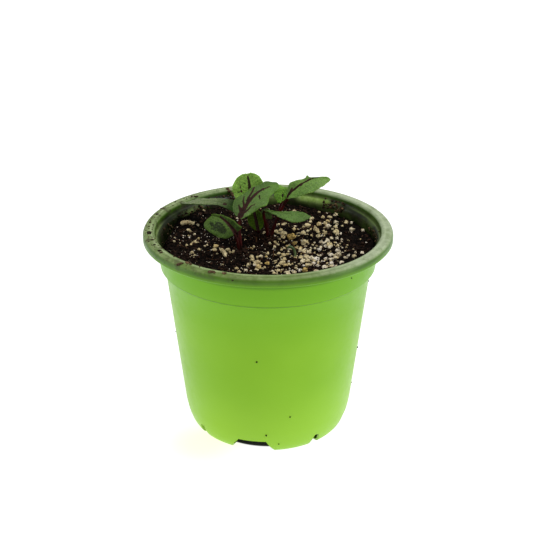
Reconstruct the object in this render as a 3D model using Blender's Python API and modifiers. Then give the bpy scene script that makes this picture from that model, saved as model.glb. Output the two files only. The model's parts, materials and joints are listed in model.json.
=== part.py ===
"""Potted sorrel: a clump of three young red-veined sorrel plants in a thin green nursery pot.

Metres, +Z up. The origin is on the pot's axis, on the surface that the pot stands on.
The front of the pot is at -Y.
"""
import math
import random

import bmesh
import bpy
from mathutils import Matrix, Vector, noise

MM = 0.001
CLEARANCE = 0.3 * MM

# Pot: heights from the ground, outer radii, and the thin wall
POT_HEIGHT = 98.0 * MM
RIM_RADIUS = 57.0 * MM
LIP_BOTTOM = 93.8 * MM
WALL = 0.9 * MM
FLANGE_INNER_RADIUS = 51.4 * MM
LEDGE_HEIGHT = 94.4 * MM
COLLAR_TOP_RADIUS = 50.4 * MM
COLLAR_BOTTOM_RADIUS = 49.6 * MM
STEP_HEIGHT = 80.5 * MM
BODY_TOP_RADIUS = 47.3 * MM
BODY_LOW_RADIUS = 39.6 * MM
BODY_LOW_HEIGHT = 13.0 * MM
FOOT_RADIUS = 33.8 * MM
FLOOR_RADIUS = 27.0 * MM
FLOOR_RISE = 3.0 * MM
POT_STEPS = 56

# Drain notches round the bottom edge
NOTCHES = 8
FIRST_NOTCH_ANGLE = -101.6
NOTCH_HEIGHT = 3.0 * MM
NOTCH_TOP_ANGLE = 22.0
NOTCH_FOOT_ANGLE = 28.0
NOTCH_INNER_RADIUS = 29.6 * MM

# Potting mix
SOIL_HEIGHT = 89.8 * MM
SOIL_MOUND = 0.5 * MM
SOIL_BACK_RISE = 2.0 * MM
SOIL_GAP_DEPTH = 4.5 * MM
SOIL_RINGS = 11
SOIL_STEPS = 48
SOIL_LUMP = 0.9 * MM
SKIRT_DEPTH = 6.0 * MM
CHIPS = 74
CHIP_RADIUS = 1.5 * MM

# Root crowns, which stand in plain holes in the mix
CROWN_RADIUS = 2.3 * MM
CROWN_DEPTH = 15.0 * MM
CROWN_TOP = 1.6 * MM
CROWN_SINK = 0.9 * MM
CROWNS = {
    "left": (-12.3 * MM, -12.3 * MM),
    "middle": (-5.0 * MM, 6.8 * MM),
    "right": (0.3 * MM, 2.0 * MM),
}

# Leaves
BLADE_THICKNESS = 0.7 * MM
BLADE_ROWS = 10
BLADE_COLUMNS = 6
NARROWEST = 0.16
STALK_RADIUS = 0.75 * MM
STALK_RESOLUTION = 1
RIB_TAPER = ((0.0, 1.0), (0.2, 0.75), (0.4, 0.62), (0.6, 0.5))

# One entry for each leaf, in millimetres. Spine: the base, the control point and the tip of
# the blade's midrib. Face: what the upper side looks towards, at the base and at the tip.
# Sides: left and right of the midrib, each its greatest width, where along the midrib that is,
# and how pointed its base and its tip are, 0 being square. Folds: how far each side rises, in
# degrees. Bend: the control point of the stalk. Waves: how many along a margin, and their height.
# Rib points: how far the stalk runs on under a sharply bent blade, where it isn't the usual four.
LEAVES = {
    "back_round": {
        "crown": "middle",
        "spine": ((-8.0, 9.5, 104.0), (-8.5, 13.0, 111.1), (-9.5, 13.8, 118.5)),
        "face": ((0.05, -0.95, 0.35), (0.0, -0.97, 0.25)),
        "sides": ((8.0, 0.5, 0.5, 0.42), (7.1, 0.48, 0.5, 0.52)),
        "folds": (6.0, 6.0),
        "bend": (-5.8, 8.4, 97.0),
        "waves": (3.0, 0.22),
    },
    "centre": {
        "crown": "left",
        "spine": ((-13.2, -4.0, 103.5), (-6.3, 3.0, 116.3), (4.8, 9.0, 115.0)),
        "face": ((-0.45, -0.75, 0.5), (-0.25, -0.55, 0.8)),
        "sides": ((6.0, 0.3, 0.5, 1.2), (8.3, 0.42, 0.6, 0.72)),
        "folds": (10.0, 7.0),
        "bend": (-12.2, -10.4, 97.0),
        "waves": (3.5, 0.4),
    },
    "arching": {
        "crown": "right",
        "spine": ((7.4, 13.4, 111.2), (7.5, 11.4, 116.2), (5.0, 8.0, 106.6)),
        "face": ((0.0, -0.1, 0.95), (0.1, -0.95, 0.3)),
        "sides": ((4.0, 0.6, 0.5, 0.6), (3.8, 0.6, 0.45, 0.45)),
        "folds": (6.0, 6.0),
        "bend": (5.2, 12.6, 99.0),
        "waves": (3.5, 0.25),
        "rib_points": 2,
    },
    "right": {
        "crown": "right",
        "spine": ((8.6, 5.6, 109.7), (17.1, 7.2, 121.0), (28.3, 10.0, 117.3)),
        "face": ((-0.3, -0.62, 0.7), (-0.1, -0.6, 0.8)),
        "sides": ((3.7, 0.22, 1.0, 2.2), (6.2, 0.55, 0.5, 0.5)),
        "folds": (30.0, 8.0),
        "bend": (4.0, 4.6, 101.0),
        "waves": (3.0, 0.3),
    },
    "low_right": {
        "crown": "right",
        "spine": ((-1.7, 3.0, 105.0), (9.1, 0.5, 104.1), (19.3, -1.0, 103.4)),
        "face": ((0.0, -0.4, 0.92), (0.05, -0.4, 0.92)),
        "sides": ((2.4, 0.78, 0.9, 0.6), (4.8, 0.68, 0.95, 0.55)),
        "folds": (4.0, 4.0),
        "bend": (-0.4, 3.0, 98.0),
        "waves": (4.5, 0.12),
    },
    "low_left": {
        "crown": "left",
        "spine": ((-14.8, -11.6, 99.3), (-19.3, -12.4, 110.6), (-28.8, -10.6, 105.7)),
        "face": ((0.3, -0.8, 0.5), (0.05, -0.8, 0.6)),
        "sides": ((9.9, 0.5, 0.36, 0.28), (4.4, 0.1, 0.5, 1.9)),
        "folds": (14.0, 26.0),
        "bend": (-13.0, -11.8, 94.0),
        "waves": (3.0, 0.25),
    },
    "young": {
        "crown": "middle",
        "spine": ((-4.4, 5.4, 93.5), (-5.3, 6.8, 98.4), (-6.3, 7.6, 104.2)),
        "face": ((0.0, -1.0, 0.15), (0.0, -1.0, 0.3)),
        "sides": ((4.1, 0.55, 0.6, 0.6), (3.4, 0.45, 0.6, 0.6)),
        "folds": (12.0, 12.0),
        "bend": (-4.2, 7.4, 92.4),
        "waves": (2.5, 0.15),
    },
    "tucked": {
        "crown": "right",
        "spine": ((-2.8, 9.8, 102.1), (-0.9, 9.4, 100.9), (1.5, 8.6, 98.6)),
        "face": ((0.0, -0.75, 0.7), (0.1, -0.85, 0.5)),
        "sides": ((2.4, 0.45, 0.7, 0.6), (2.4, 0.45, 0.7, 0.6)),
        "folds": (8.0, 8.0),
        "bend": (-0.2, 13.0, 97.5),
        "waves": (2.5, 0.15),
    },
    "rim_leaf": {
        "crown": "left",
        "spine": ((-14.0, 8.0, 103.6), (-24.3, 18.0, 105.7), (-40.6, 28.9, 98.4)),
        "face": ((0.1, -0.8, 0.5), (0.0, 0.2, 1.0)),
        "sides": ((3.0, 0.15, 0.5, 0.6), (3.8, 0.08, 0.4, 0.8)),
        "folds": (4.0, 4.0),
        "bend": (-13.6, -5.0, 98.0),
        "waves": (2.5, 0.2),
    },
}

# The small seedling in front, a bent blade of grass
SPROUT_ROUTE = (
    (12.0, -17.4, 89.7),
    (12.0, -17.4, 92.1),
    (11.4, -16.9, 94.1),
    (9.7, -16.4, 95.0),
    (8.3, -16.0, 94.0),
)
SPROUT_RADIUS = 0.45 * MM
SPROUT_HOLE_RADIUS = 0.9 * MM
SPROUT_DEPTH = 4.0 * MM


def clear_scene():
    for item in list(bpy.data.objects):
        bpy.data.objects.remove(item, do_unlink=True)


def make_collection(name):
    group = bpy.data.collections.new(name)
    bpy.context.scene.collection.children.link(group)
    return group


def make_material(name, colour, roughness, metallic=0.0):
    material = bpy.data.materials.new(name)
    material.use_nodes = True
    shader = material.node_tree.nodes["Principled BSDF"]
    shader.inputs["Base Color"].default_value = (*colour, 1.0)
    shader.inputs["Roughness"].default_value = roughness
    shader.inputs["Metallic"].default_value = metallic
    return material


def add_object(name, mesh, group, material=None):
    item = bpy.data.objects.new(name, mesh)
    group.objects.link(item)
    if material:
        mesh.materials.append(material)
    return item


def mesh_from(name, form):
    mesh = bpy.data.meshes.new(name)
    form.to_mesh(mesh)
    form.free()
    return mesh


def evaluated_mesh(item):
    """The object's shape after its modifiers, as a mesh of its own in world places."""
    graph = bpy.context.evaluated_depsgraph_get()
    mesh = bpy.data.meshes.new_from_object(item.evaluated_get(graph))
    mesh.transform(item.matrix_world)
    return mesh


def replace_by_mesh(item, group, material):
    """Turn a curve or a modified object into a plain welded mesh with the same name."""
    mesh = evaluated_mesh(item)
    name = item.name
    bpy.data.objects.remove(item, do_unlink=True)
    form = bmesh.new()
    form.from_mesh(mesh)
    bmesh.ops.remove_doubles(form, verts=form.verts, dist=0.001 * MM)
    form.to_mesh(mesh)
    form.free()
    mesh.materials.clear()
    return add_object(name, mesh, group, material)


def turned(name, profile, steps, group, material):
    """A body turned round Z from a closed profile of (radius, height) points."""
    form = bmesh.new()
    points = [form.verts.new((radius, 0.0, height)) for radius, height in profile]
    for first, second in zip(points, points[1:]):
        form.edges.new((first, second))
    item = add_object(name, mesh_from(name, form), group, material)
    screw = item.modifiers.new("Turn", "SCREW")
    screw.angle = math.tau
    screw.steps = steps
    screw.render_steps = steps
    screw.use_merge_vertices = True
    screw.merge_threshold = 0.01 * MM
    return item


def tube(name, route, radii, group, resolution=STALK_RESOLUTION):
    """A round rod along a list of points, with a radius at each."""
    curve = bpy.data.curves.new(name, "CURVE")
    curve.dimensions = "3D"
    curve.bevel_depth = 1.0
    curve.bevel_resolution = resolution
    curve.use_fill_caps = True
    line = curve.splines.new("POLY")
    line.points.add(len(route) - 1)
    for point, place, radius in zip(line.points, route, radii):
        point.co = (*place, 1.0)
        point.radius = radius
    item = bpy.data.objects.new(name, curve)
    group.objects.link(item)
    return item


def boolean(item, operation, group):
    """Join a collection's objects to an item, or cut them from it, and keep the result."""
    step = item.modifiers.new("Join", "BOOLEAN")
    step.operation = operation
    step.operand_type = "COLLECTION"
    step.collection = group
    step.solver = "EXACT"


def arc(centre, radius, start, end, count):
    """Points on an arc in the profile plane; angles in degrees from +X towards +Z."""
    points = []
    for index in range(count + 1):
        angle = math.radians(start + (end - start) * index / count)
        points.append((centre[0] + radius * math.cos(angle), centre[1] + radius * math.sin(angle)))
    return points


def bottom_corner(inset):
    """The rounded corner between the body and the foot, read from the foot upwards."""
    start = Vector((FOOT_RADIUS - inset * 0.4, inset))
    end = Vector((BODY_LOW_RADIUS - inset, BODY_LOW_HEIGHT))
    handle = Vector((BODY_LOW_RADIUS - 1.9 * MM - inset, 0.2 * MM + inset))
    points = []
    for index in range(5):
        t = index / 4
        point = start * (1 - t) ** 2 + handle * 2 * t * (1 - t) + end * t * t
        points.append((point.x, point.y))
    return points


def inner_wall():
    """The inside of the pot from the floor's middle to the flange's inner edge."""
    floor_top = FLOOR_RISE + WALL
    return [
        (0.0, floor_top),
        (FLOOR_RADIUS - 0.6 * MM, floor_top),
        (FLOOR_RADIUS + 2.0 * MM, WALL),
        *bottom_corner(WALL),
        (BODY_TOP_RADIUS - WALL, STEP_HEIGHT - 0.5 * MM),
        (COLLAR_BOTTOM_RADIUS - WALL, STEP_HEIGHT + 0.7 * MM),
        (COLLAR_TOP_RADIUS - WALL, LEDGE_HEIGHT - 1.4 * MM),
        (FLANGE_INNER_RADIUS - WALL, LEDGE_HEIGHT),
    ]


def make_pot(group, cutters, material):
    top = POT_HEIGHT
    outer_corner = arc((RIM_RADIUS - 2.2 * MM, top - 2.2 * MM), 2.2 * MM, 90, 0, 4)
    inner_corner = arc((FLANGE_INNER_RADIUS + 1.6 * MM, top - 1.6 * MM), 1.6 * MM, 180, 90, 3)
    lip_inside = RIM_RADIUS - WALL
    profile = [
        *inner_wall(),
        *inner_corner,
        *outer_corner,
        (RIM_RADIUS, LIP_BOTTOM),
        (lip_inside, LIP_BOTTOM),
        (lip_inside - 0.1 * MM, top - 1.9 * MM),
        (lip_inside - 1.5 * MM, top - WALL),
        (FLANGE_INNER_RADIUS + 1.9 * MM, top - WALL),
        (FLANGE_INNER_RADIUS + 0.9 * MM, top - 2.0 * MM),
        (FLANGE_INNER_RADIUS + 0.1 * MM, LEDGE_HEIGHT - 0.4 * MM),
        (COLLAR_TOP_RADIUS, LEDGE_HEIGHT - 1.8 * MM),
        (COLLAR_BOTTOM_RADIUS, STEP_HEIGHT + 0.8 * MM),
        (COLLAR_BOTTOM_RADIUS - 0.7 * MM, STEP_HEIGHT),
        (BODY_TOP_RADIUS, STEP_HEIGHT - 0.7 * MM),
        *reversed(bottom_corner(0.0)),
        (FLOOR_RADIUS + 2.6 * MM, 0.0),
        (FLOOR_RADIUS, FLOOR_RISE),
        (0.0, FLOOR_RISE),
    ]
    pot = turned("pot", profile, POT_STEPS, group, material)
    for index in range(NOTCHES):
        angle = FIRST_NOTCH_ANGLE + 360.0 * index / NOTCHES
        add_notch(f"notch_{index + 1}", angle, cutters)
    boolean(pot, "DIFFERENCE", cutters)
    pot = replace_by_mesh(pot, group, material)
    for polygon in pot.data.polygons:
        polygon.use_smooth = True
    pot.data.set_sharp_from_angle(angle=math.radians(35))


def add_notch(name, angle, cutters):
    """A wedge that is wider at its foot, from inside the wall to well outside it."""
    below = -1.0 * MM
    outer_radius = FOOT_RADIUS + 9.0 * MM
    form = bmesh.new()
    bmesh.ops.create_cube(form, size=2.0)
    for vertex in form.verts:
        radius = outer_radius if vertex.co.x > 0 else NOTCH_INNER_RADIUS
        height = NOTCH_HEIGHT if vertex.co.z > 0 else below
        opening = NOTCH_TOP_ANGLE if vertex.co.z > 0 else NOTCH_FOOT_ANGLE
        turn = math.radians(angle + math.copysign(opening / 2, vertex.co.y))
        vertex.co = (radius * math.cos(turn), radius * math.sin(turn), height)
    cutter = add_object(name, mesh_from(name, form), cutters)
    cutter.hide_render = True
    cutter.display_type = "WIRE"


def soft_step(low, high, value):
    """0 below low, 1 above high, and a soft step between them."""
    share = min(max((value - low) / (high - low), 0.0), 1.0)
    return share * share * (3 - 2 * share)


def soil_height(x, y):
    """The mix's surface: a low mound, higher at the back left, with a gap along the left wall."""
    distance = math.hypot(x, y) / COLLAR_BOTTOM_RADIUS
    mound = SOIL_MOUND * (1 - distance * distance)
    back_left = max(0.0, (y - x) / math.sqrt(2)) / COLLAR_BOTTOM_RADIUS
    turn = math.degrees(math.atan2(y, x)) % 360.0
    beside_gap = soft_step(150.0, 168.0, turn) * (1 - soft_step(205.0, 225.0, turn))
    gap = SOIL_GAP_DEPTH * beside_gap * soft_step(0.925, 0.975, distance)
    place = Vector((x, y, 0.0))
    lumps = noise.noise(place * 130) * SOIL_LUMP + noise.noise(place * 310) * SOIL_LUMP * 0.5
    return SOIL_HEIGHT + mound + SOIL_BACK_RISE * back_left * back_left - gap + lumps


def inset(points, gap):
    """The profile moved by a gap to its left-hand side, with mitred corners."""
    sides = []
    for first, second in zip(points, points[1:]):
        along = (Vector(second) - Vector(first)).normalized()
        sides.append(Vector((-along.y, along.x)))
    moved = []
    for index, point in enumerate(points):
        before = sides[max(index - 1, 0)]
        after = sides[min(index, len(sides) - 1)]
        middle = (before + after).normalized()
        moved.append(tuple(Vector(point) + middle * (gap / middle.dot(after))))
    return moved


def make_soil(group, chips, holes, material):
    wall = inset(inner_wall(), CLEARANCE + 0.08 * MM)
    side = [point for point in wall[1:] if point[1] < SOIL_HEIGHT - SKIRT_DEPTH]
    slope = (COLLAR_TOP_RADIUS - COLLAR_BOTTOM_RADIUS) / (LEDGE_HEIGHT - STEP_HEIGHT)
    top_radius = side[-1][0] + slope * (SOIL_HEIGHT - SKIRT_DEPTH / 2 - side[-1][1])
    top = [(top_radius * index / SOIL_RINGS, SOIL_HEIGHT) for index in range(SOIL_RINGS + 1)]
    profile = [*top, *reversed(side), (0.0, side[0][1])]
    soil = turned("soil", profile, SOIL_STEPS, group, material)
    soil = replace_by_mesh(soil, group, material)
    for vertex in soil.data.vertices:
        x, y, z = vertex.co
        if abs(z - SOIL_HEIGHT) < 0.01 * MM:
            vertex.co.z = soil_height(x, y)
    add_chips(chips)
    boolean(soil, "UNION", chips)
    soil = replace_by_mesh(soil, group, material)
    boolean(soil, "DIFFERENCE", holes)
    soil = replace_by_mesh(soil, group, material)
    for item in list(chips.objects):
        bpy.data.objects.remove(item, do_unlink=True)
    return soil


def add_chips(group):
    """Coarse pale chips, half sunk in the mix, most of them at the right and in front."""
    draw = random.Random(7)
    reach = COLLAR_BOTTOM_RADIUS - 5 * MM
    places = []
    while len(places) < CHIPS:
        x = draw.uniform(-reach, reach)
        y = draw.uniform(-reach, reach)
        keep = 0.25 + 0.75 * (x - y + reach) / (2 * reach)
        near_crown = any(math.hypot(x - cx, y - cy) < 5.5 * MM for cx, cy in CROWNS.values())
        near_sprout = math.hypot(x - SPROUT_ROUTE[0][0] * MM, y - SPROUT_ROUTE[0][1] * MM) < 4 * MM
        crowded = any(math.hypot(x - px, y - py) < 3.4 * MM for px, py in places)
        if math.hypot(x, y) > reach or near_crown or near_sprout or crowded or draw.random() > keep:
            continue
        places.append((x, y))
        form = bmesh.new()
        bmesh.ops.create_icosphere(form, subdivisions=1, radius=1.0)
        size = [CHIP_RADIUS * draw.uniform(0.7, 1.15) for _ in range(3)]
        turn = Matrix.Rotation(draw.uniform(0, math.tau), 4, "Z")
        place = Matrix.Translation((x, y, soil_height(x, y)))
        bmesh.ops.transform(form, matrix=place @ Matrix.Diagonal((*size, 1.0)) @ turn, verts=form.verts)
        add_object(f"chip_{len(places)}", mesh_from("chip", form), group)


def add_hole(name, x, y, radius, depth, group):
    form = bmesh.new()
    top = 8 * MM
    bmesh.ops.create_cone(
        form, cap_ends=True, segments=14, radius1=radius, radius2=radius, depth=depth + top)
    bmesh.ops.translate(form, verts=form.verts, vec=(x, y, SOIL_HEIGHT + (top - depth) / 2))
    hole = add_object(name, mesh_from(name, form), group)
    hole.hide_render = True
    hole.display_type = "WIRE"


def bezier(points, t):
    first, control, last = points
    return first * (1 - t) ** 2 + control * 2 * t * (1 - t) + last * t * t


def bezier_direction(points, t):
    first, control, last = points
    return ((control - first) * (1 - t) + (last - control) * t).normalized()


def half_width(side, t):
    """The width of one side of the blade at a place along its midrib."""
    greatest, widest, base_power, tip_power = side
    if t < widest:
        share = t / widest
        power = base_power
    else:
        share = (1 - t) / (1 - widest)
        power = tip_power
    return greatest * MM * max(math.sin(share * math.pi / 2) ** power, NARROWEST)


def blade_frame(leaf, t):
    """The midrib's place, its direction and what the upper side looks towards."""
    spine = [Vector(point) * MM for point in leaf["spine"]]
    along = bezier_direction(spine, t)
    face = Vector(leaf["face"][0]).lerp(Vector(leaf["face"][1]), t)
    return bezier(spine, t), along, (face - along * face.dot(along)).normalized()


def blade_point(leaf, t, across):
    """A point on the blade's upper side; t runs from base to tip, across from -1 to 1."""
    place, along, face = blade_frame(leaf, t)
    right = along.cross(face)
    side = 1 if across > 0 else 0
    half = half_width(leaf["sides"][side], t)
    reach = abs(across)
    fold = math.radians(leaf["folds"][side]) * (1 - 0.45 * reach)
    count, height = leaf["waves"]
    wave = height * MM * reach ** 2 * math.sin(math.tau * count * t + (1.3 if across > 0 else 3.4))
    offset = half * reach * math.cos(fold) * math.copysign(1, across)
    rise = half * reach * math.sin(fold) + wave
    return place + right * offset + face * rise


def make_blade(name, leaf, group, material):
    form = bmesh.new()
    bmesh.ops.create_grid(form, x_segments=BLADE_COLUMNS, y_segments=BLADE_ROWS, size=1.0)
    for vertex in form.verts:
        vertex.co = blade_point(leaf, (vertex.co.y + 1) / 2, vertex.co.x)
    bmesh.ops.triangulate(form, faces=form.faces)
    item = add_object(f"{name}_blade", mesh_from(name, form), group, material)
    shell = item.modifiers.new("Thickness", "SOLIDIFY")
    shell.thickness = BLADE_THICKNESS
    shell.offset = -1.0
    return replace_by_mesh(item, group, material)


def stalk_route(leaf):
    """Where the leaf's stalk runs: out of its crown, up to the blade and on under the midrib."""
    cx, cy = CROWNS[leaf["crown"]]
    under = BLADE_THICKNESS + CLEARANCE + 0.12 * MM
    rib = []
    radii = []
    for t, share in RIB_TAPER[:leaf.get("rib_points", len(RIB_TAPER))]:
        place, _, face = blade_frame(leaf, t)
        radius = STALK_RADIUS * share
        rib.append(place - face * (under + radius))
        radii.append(radius)
    top = soil_height(cx, cy) + CROWN_TOP
    bend = Vector(leaf["bend"]) * MM
    foot = Vector((cx, cy, top - CROWN_SINK))
    lean = bend - foot
    lean.z = 0.0
    foot += lean.normalized() * min(lean.length, 0.45 * CROWN_RADIUS)
    start = (foot, bend, rib[0] + (rib[0] - rib[1]) * 0.25)
    low = [bezier(start, t / 5) for t in range(5)]
    return [*low, *rib], [STALK_RADIUS * 1.1] * 5 + radii


def make_stalks(crown, group, joined, material):
    """A crown with its taproot and the stalks of all the leaves that grow from it."""
    cx, cy = CROWNS[crown]
    top = soil_height(cx, cy)
    floor = SOIL_HEIGHT - CROWN_DEPTH + CLEARANCE
    root = CROWN_RADIUS * 0.55
    profile = [
        (0.0, top + CROWN_TOP),
        (CROWN_RADIUS * 0.6, top + CROWN_TOP - 0.3 * MM),
        (CROWN_RADIUS, top + 0.2 * MM),
        (CROWN_RADIUS, top - 4.0 * MM),
        (root, floor + 0.4 * MM),
        (root * 0.5, floor),
        (0.0, floor),
    ]
    item = turned(f"stalks_{crown}", profile, 10, group, material)
    item.location = (cx, cy, 0.0)
    bpy.context.view_layer.update()
    item = replace_by_mesh(item, group, material)
    for name, leaf in LEAVES.items():
        if leaf["crown"] == crown:
            route, radii = stalk_route(leaf)
            rod = tube(f"{name}_rod", route, radii, joined)
            replace_by_mesh(rod, joined, None)
    boolean(item, "UNION", joined)
    item = replace_by_mesh(item, group, material)
    for rod in list(joined.objects):
        bpy.data.objects.remove(rod, do_unlink=True)
    return item


def make_sprout(group, material):
    route = [Vector(point) * MM for point in SPROUT_ROUTE]
    foot = Vector((route[0].x, route[0].y, SOIL_HEIGHT - SPROUT_DEPTH + CLEARANCE))
    radii = [SPROUT_RADIUS] * len(route) + [SPROUT_RADIUS * 0.8]
    rod = tube("sprout", [foot, *route], radii, group)
    replace_by_mesh(rod, group, material)


def main():
    clear_scene()
    parts = make_collection("potted_sorrel")
    cutters = make_collection("pot_cutters")
    holes = make_collection("soil_holes")
    joined = make_collection("joined")
    pot_green = make_material("pot_green", (0.28, 0.50, 0.07), 0.35)
    mix = make_material("potting_mix", (0.016, 0.010, 0.006), 0.95)
    leaf_green = make_material("leaf_green", (0.10, 0.21, 0.045), 0.55)
    stalk_red = make_material("stalk_red", (0.07, 0.008, 0.012), 0.5)
    make_pot(parts, cutters, pot_green)
    for name, (x, y) in CROWNS.items():
        add_hole(f"hole_{name}", x, y, CROWN_RADIUS + CLEARANCE + 0.1 * MM, CROWN_DEPTH, holes)
    sprout_x, sprout_y, _ = SPROUT_ROUTE[0]
    add_hole("hole_sprout", sprout_x * MM, sprout_y * MM, SPROUT_HOLE_RADIUS, SPROUT_DEPTH, holes)
    make_soil(parts, joined, holes, mix)
    for name in CROWNS:
        make_stalks(name, parts, joined, stalk_red)
    for name, leaf in LEAVES.items():
        make_blade(name, leaf, parts, leaf_green)
    make_sprout(parts, leaf_green)


main()
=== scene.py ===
"""Potted sorrel: the looks of the pot, its potting mix and the young plants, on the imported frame."""

import json
import math
import random

import bmesh
import bpy
from mathutils import Matrix, Vector, noise

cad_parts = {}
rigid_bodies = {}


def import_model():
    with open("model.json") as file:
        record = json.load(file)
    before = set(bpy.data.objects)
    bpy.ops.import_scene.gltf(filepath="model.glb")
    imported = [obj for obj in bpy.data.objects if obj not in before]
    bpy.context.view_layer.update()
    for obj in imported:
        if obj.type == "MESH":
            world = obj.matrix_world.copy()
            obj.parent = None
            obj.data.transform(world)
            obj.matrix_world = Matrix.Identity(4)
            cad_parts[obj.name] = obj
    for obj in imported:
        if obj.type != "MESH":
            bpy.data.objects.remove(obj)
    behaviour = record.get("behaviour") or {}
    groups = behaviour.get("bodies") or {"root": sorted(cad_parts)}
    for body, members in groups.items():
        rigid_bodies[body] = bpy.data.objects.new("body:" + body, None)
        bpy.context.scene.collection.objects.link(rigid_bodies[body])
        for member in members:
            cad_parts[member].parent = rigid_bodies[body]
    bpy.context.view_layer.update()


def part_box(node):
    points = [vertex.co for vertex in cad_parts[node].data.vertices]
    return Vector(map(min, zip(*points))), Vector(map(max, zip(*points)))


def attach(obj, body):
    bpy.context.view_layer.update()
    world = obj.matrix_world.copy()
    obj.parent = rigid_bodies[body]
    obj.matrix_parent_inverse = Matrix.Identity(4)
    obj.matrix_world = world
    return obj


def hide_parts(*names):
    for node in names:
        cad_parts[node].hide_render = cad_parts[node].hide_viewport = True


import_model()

MM = 0.001

# The pot, from the frame's box: heights from the ground and outer radii
POT_LOW, POT_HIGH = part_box("pot")
POT_HEIGHT = POT_HIGH.z
RIM_RADIUS = POT_HIGH.x
WALL = 0.9 * MM
LIP_BOTTOM = POT_HEIGHT - 4.2 * MM
FLANGE_INNER_RADIUS = RIM_RADIUS - 5.6 * MM
LEDGE_HEIGHT = POT_HEIGHT - 3.6 * MM
COLLAR_TOP_RADIUS = RIM_RADIUS - 6.6 * MM
COLLAR_BOTTOM_RADIUS = RIM_RADIUS - 7.4 * MM
STEP_HEIGHT = POT_HEIGHT - 17.5 * MM
BODY_TOP_RADIUS = RIM_RADIUS - 9.7 * MM
BODY_LOW_RADIUS = RIM_RADIUS - 17.4 * MM
BODY_LOW_HEIGHT = 13.0 * MM
FOOT_RADIUS = RIM_RADIUS - 23.2 * MM
FLOOR_RADIUS = 27.0 * MM
FLOOR_RISE = 3.0 * MM
RIM_INNER_ROUND = 1.6 * MM
RIM_OUTER_ROUND = 2.2 * MM
POT_STEPS = 320

# Drain notches
NOTCHES = 8
FIRST_NOTCH_ANGLE = -101.0
WIDE_NOTCH = (19.3, 36.4)
NARROW_NOTCH = (3.5, 10.5)
NOTCH_INNER_RADIUS = 29.6 * MM
NOTCH_HEIGHT = 7.1 * MM
NARROW_NOTCH_HEIGHT = 6.4 * MM
NARROW_NOTCH_SHIFT = 2.4

# Crumbs of mix on the rim: angle in degrees, distance from the axis and width in millimetres
RIM_CRUMBS = (
    (174.9, 54.5, 1.0), (180.0, 54.3, 1.0), (-171.8, 54.0, 2.4), (-163.0, 53.8, 1.4),
    (-156.9, 54.3, 1.4), (-149.6, 54.8, 1.8), (-147.4, 55.0, 1.4), (164.3, 53.9, 1.2),
    (-132.6, 56.1, 2.1), (-131.9, 55.2, 1.9), (-130.3, 53.2, 1.9), (-128.0, 53.4, 1.4),
    (-115.9, 55.1, 2.3), (-114.4, 54.9, 1.9), (-109.6, 54.5, 2.0), (145.3, 54.0, 1.1),
    (134.2, 53.0, 1.3), (132.4, 52.2, 1.6), (131.2, 52.0, 1.2), (-152.0, 52.6, 0.8),
    (169.0, 55.0, 0.8), (-176.5, 52.7, 0.7), (-105.0, 56.9, 1.0), (-140.0, 52.9, 0.8),
)
# Specks on the outside of the wall: angle in degrees and height in millimetres
WALL_SPECKS = (
    (-96.5, 51.8), (-43.9, 88.2), (-25.4, 80.5), (-91.3, 11.2), (-82.6, 5.5), (-75.8, 21.0),
    (-9.1, 20.0), (-175.2, 46.0), (-12.0, 40.5), (62.0, 70.0), (118.0, 33.0),
    (150.0, 61.0), (31.0, 14.0), (95.0, 84.0),
)
# Mix stuck inside the wall: from one angle to another in degrees, low and high in millimetres,
# and how many crumbs
WALL_CRUMBS = (
    (98.0, 126.0, 91.5, 95.6, 90),
    (126.0, 150.0, 91.0, 94.6, 30),
    (42.0, 57.0, 91.0, 95.6, 80),
    (-6.0, 16.0, 91.0, 94.8, 16),
    (150.0, 176.0, 88.0, 93.6, 14),
)
BARK = ((112.4, 52.4, 97.9, 1.5), (111.9, 51.2, 97.2, 1.7), (111.0, 50.2, 96.2, 1.5), (110.2, 49.6, 95.2, 1.4))

# Potting mix
SOIL_LOW, SOIL_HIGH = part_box("soil")
SOIL_RADIUS = SOIL_HIGH.x
SOIL_HEIGHT = POT_HEIGHT - 8.2 * MM
SOIL_MOUND = 0.5 * MM
SOIL_BACK_RISE = 2.0 * MM
SOIL_GAP_DEPTH = 4.5 * MM
SOIL_LUMP = 0.9 * MM
SOIL_RINGS = 120
SOIL_STEPS = 380
CRUMBS = 4300
SMALL_GRAINS = 400
SPECKS = 420

# Where small pale grains gather: centre and reach in millimetres, and how thickly
DRIFTS = (
    (18.0, -6.0, 19.0, 0.9),
    (31.0, -3.0, 12.0, 0.7),
    (19.0, 12.0, 14.0, 0.7),
    (29.0, 22.0, 11.0, 0.5),
    (8.0, -29.0, 13.0, 0.95),
    (25.0, -24.0, 12.0, 0.9),
    (3.0, -14.0, 8.0, 0.5),
    (-6.0, -26.0, 10.0, 0.6),
    (6.0, 8.0, 8.0, 0.45),
    (-36.0, -2.0, 12.0, 0.35),
    (-40.0, 14.0, 9.0, 0.2),
    (-24.0, -14.0, 8.0, 0.2),
)

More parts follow.
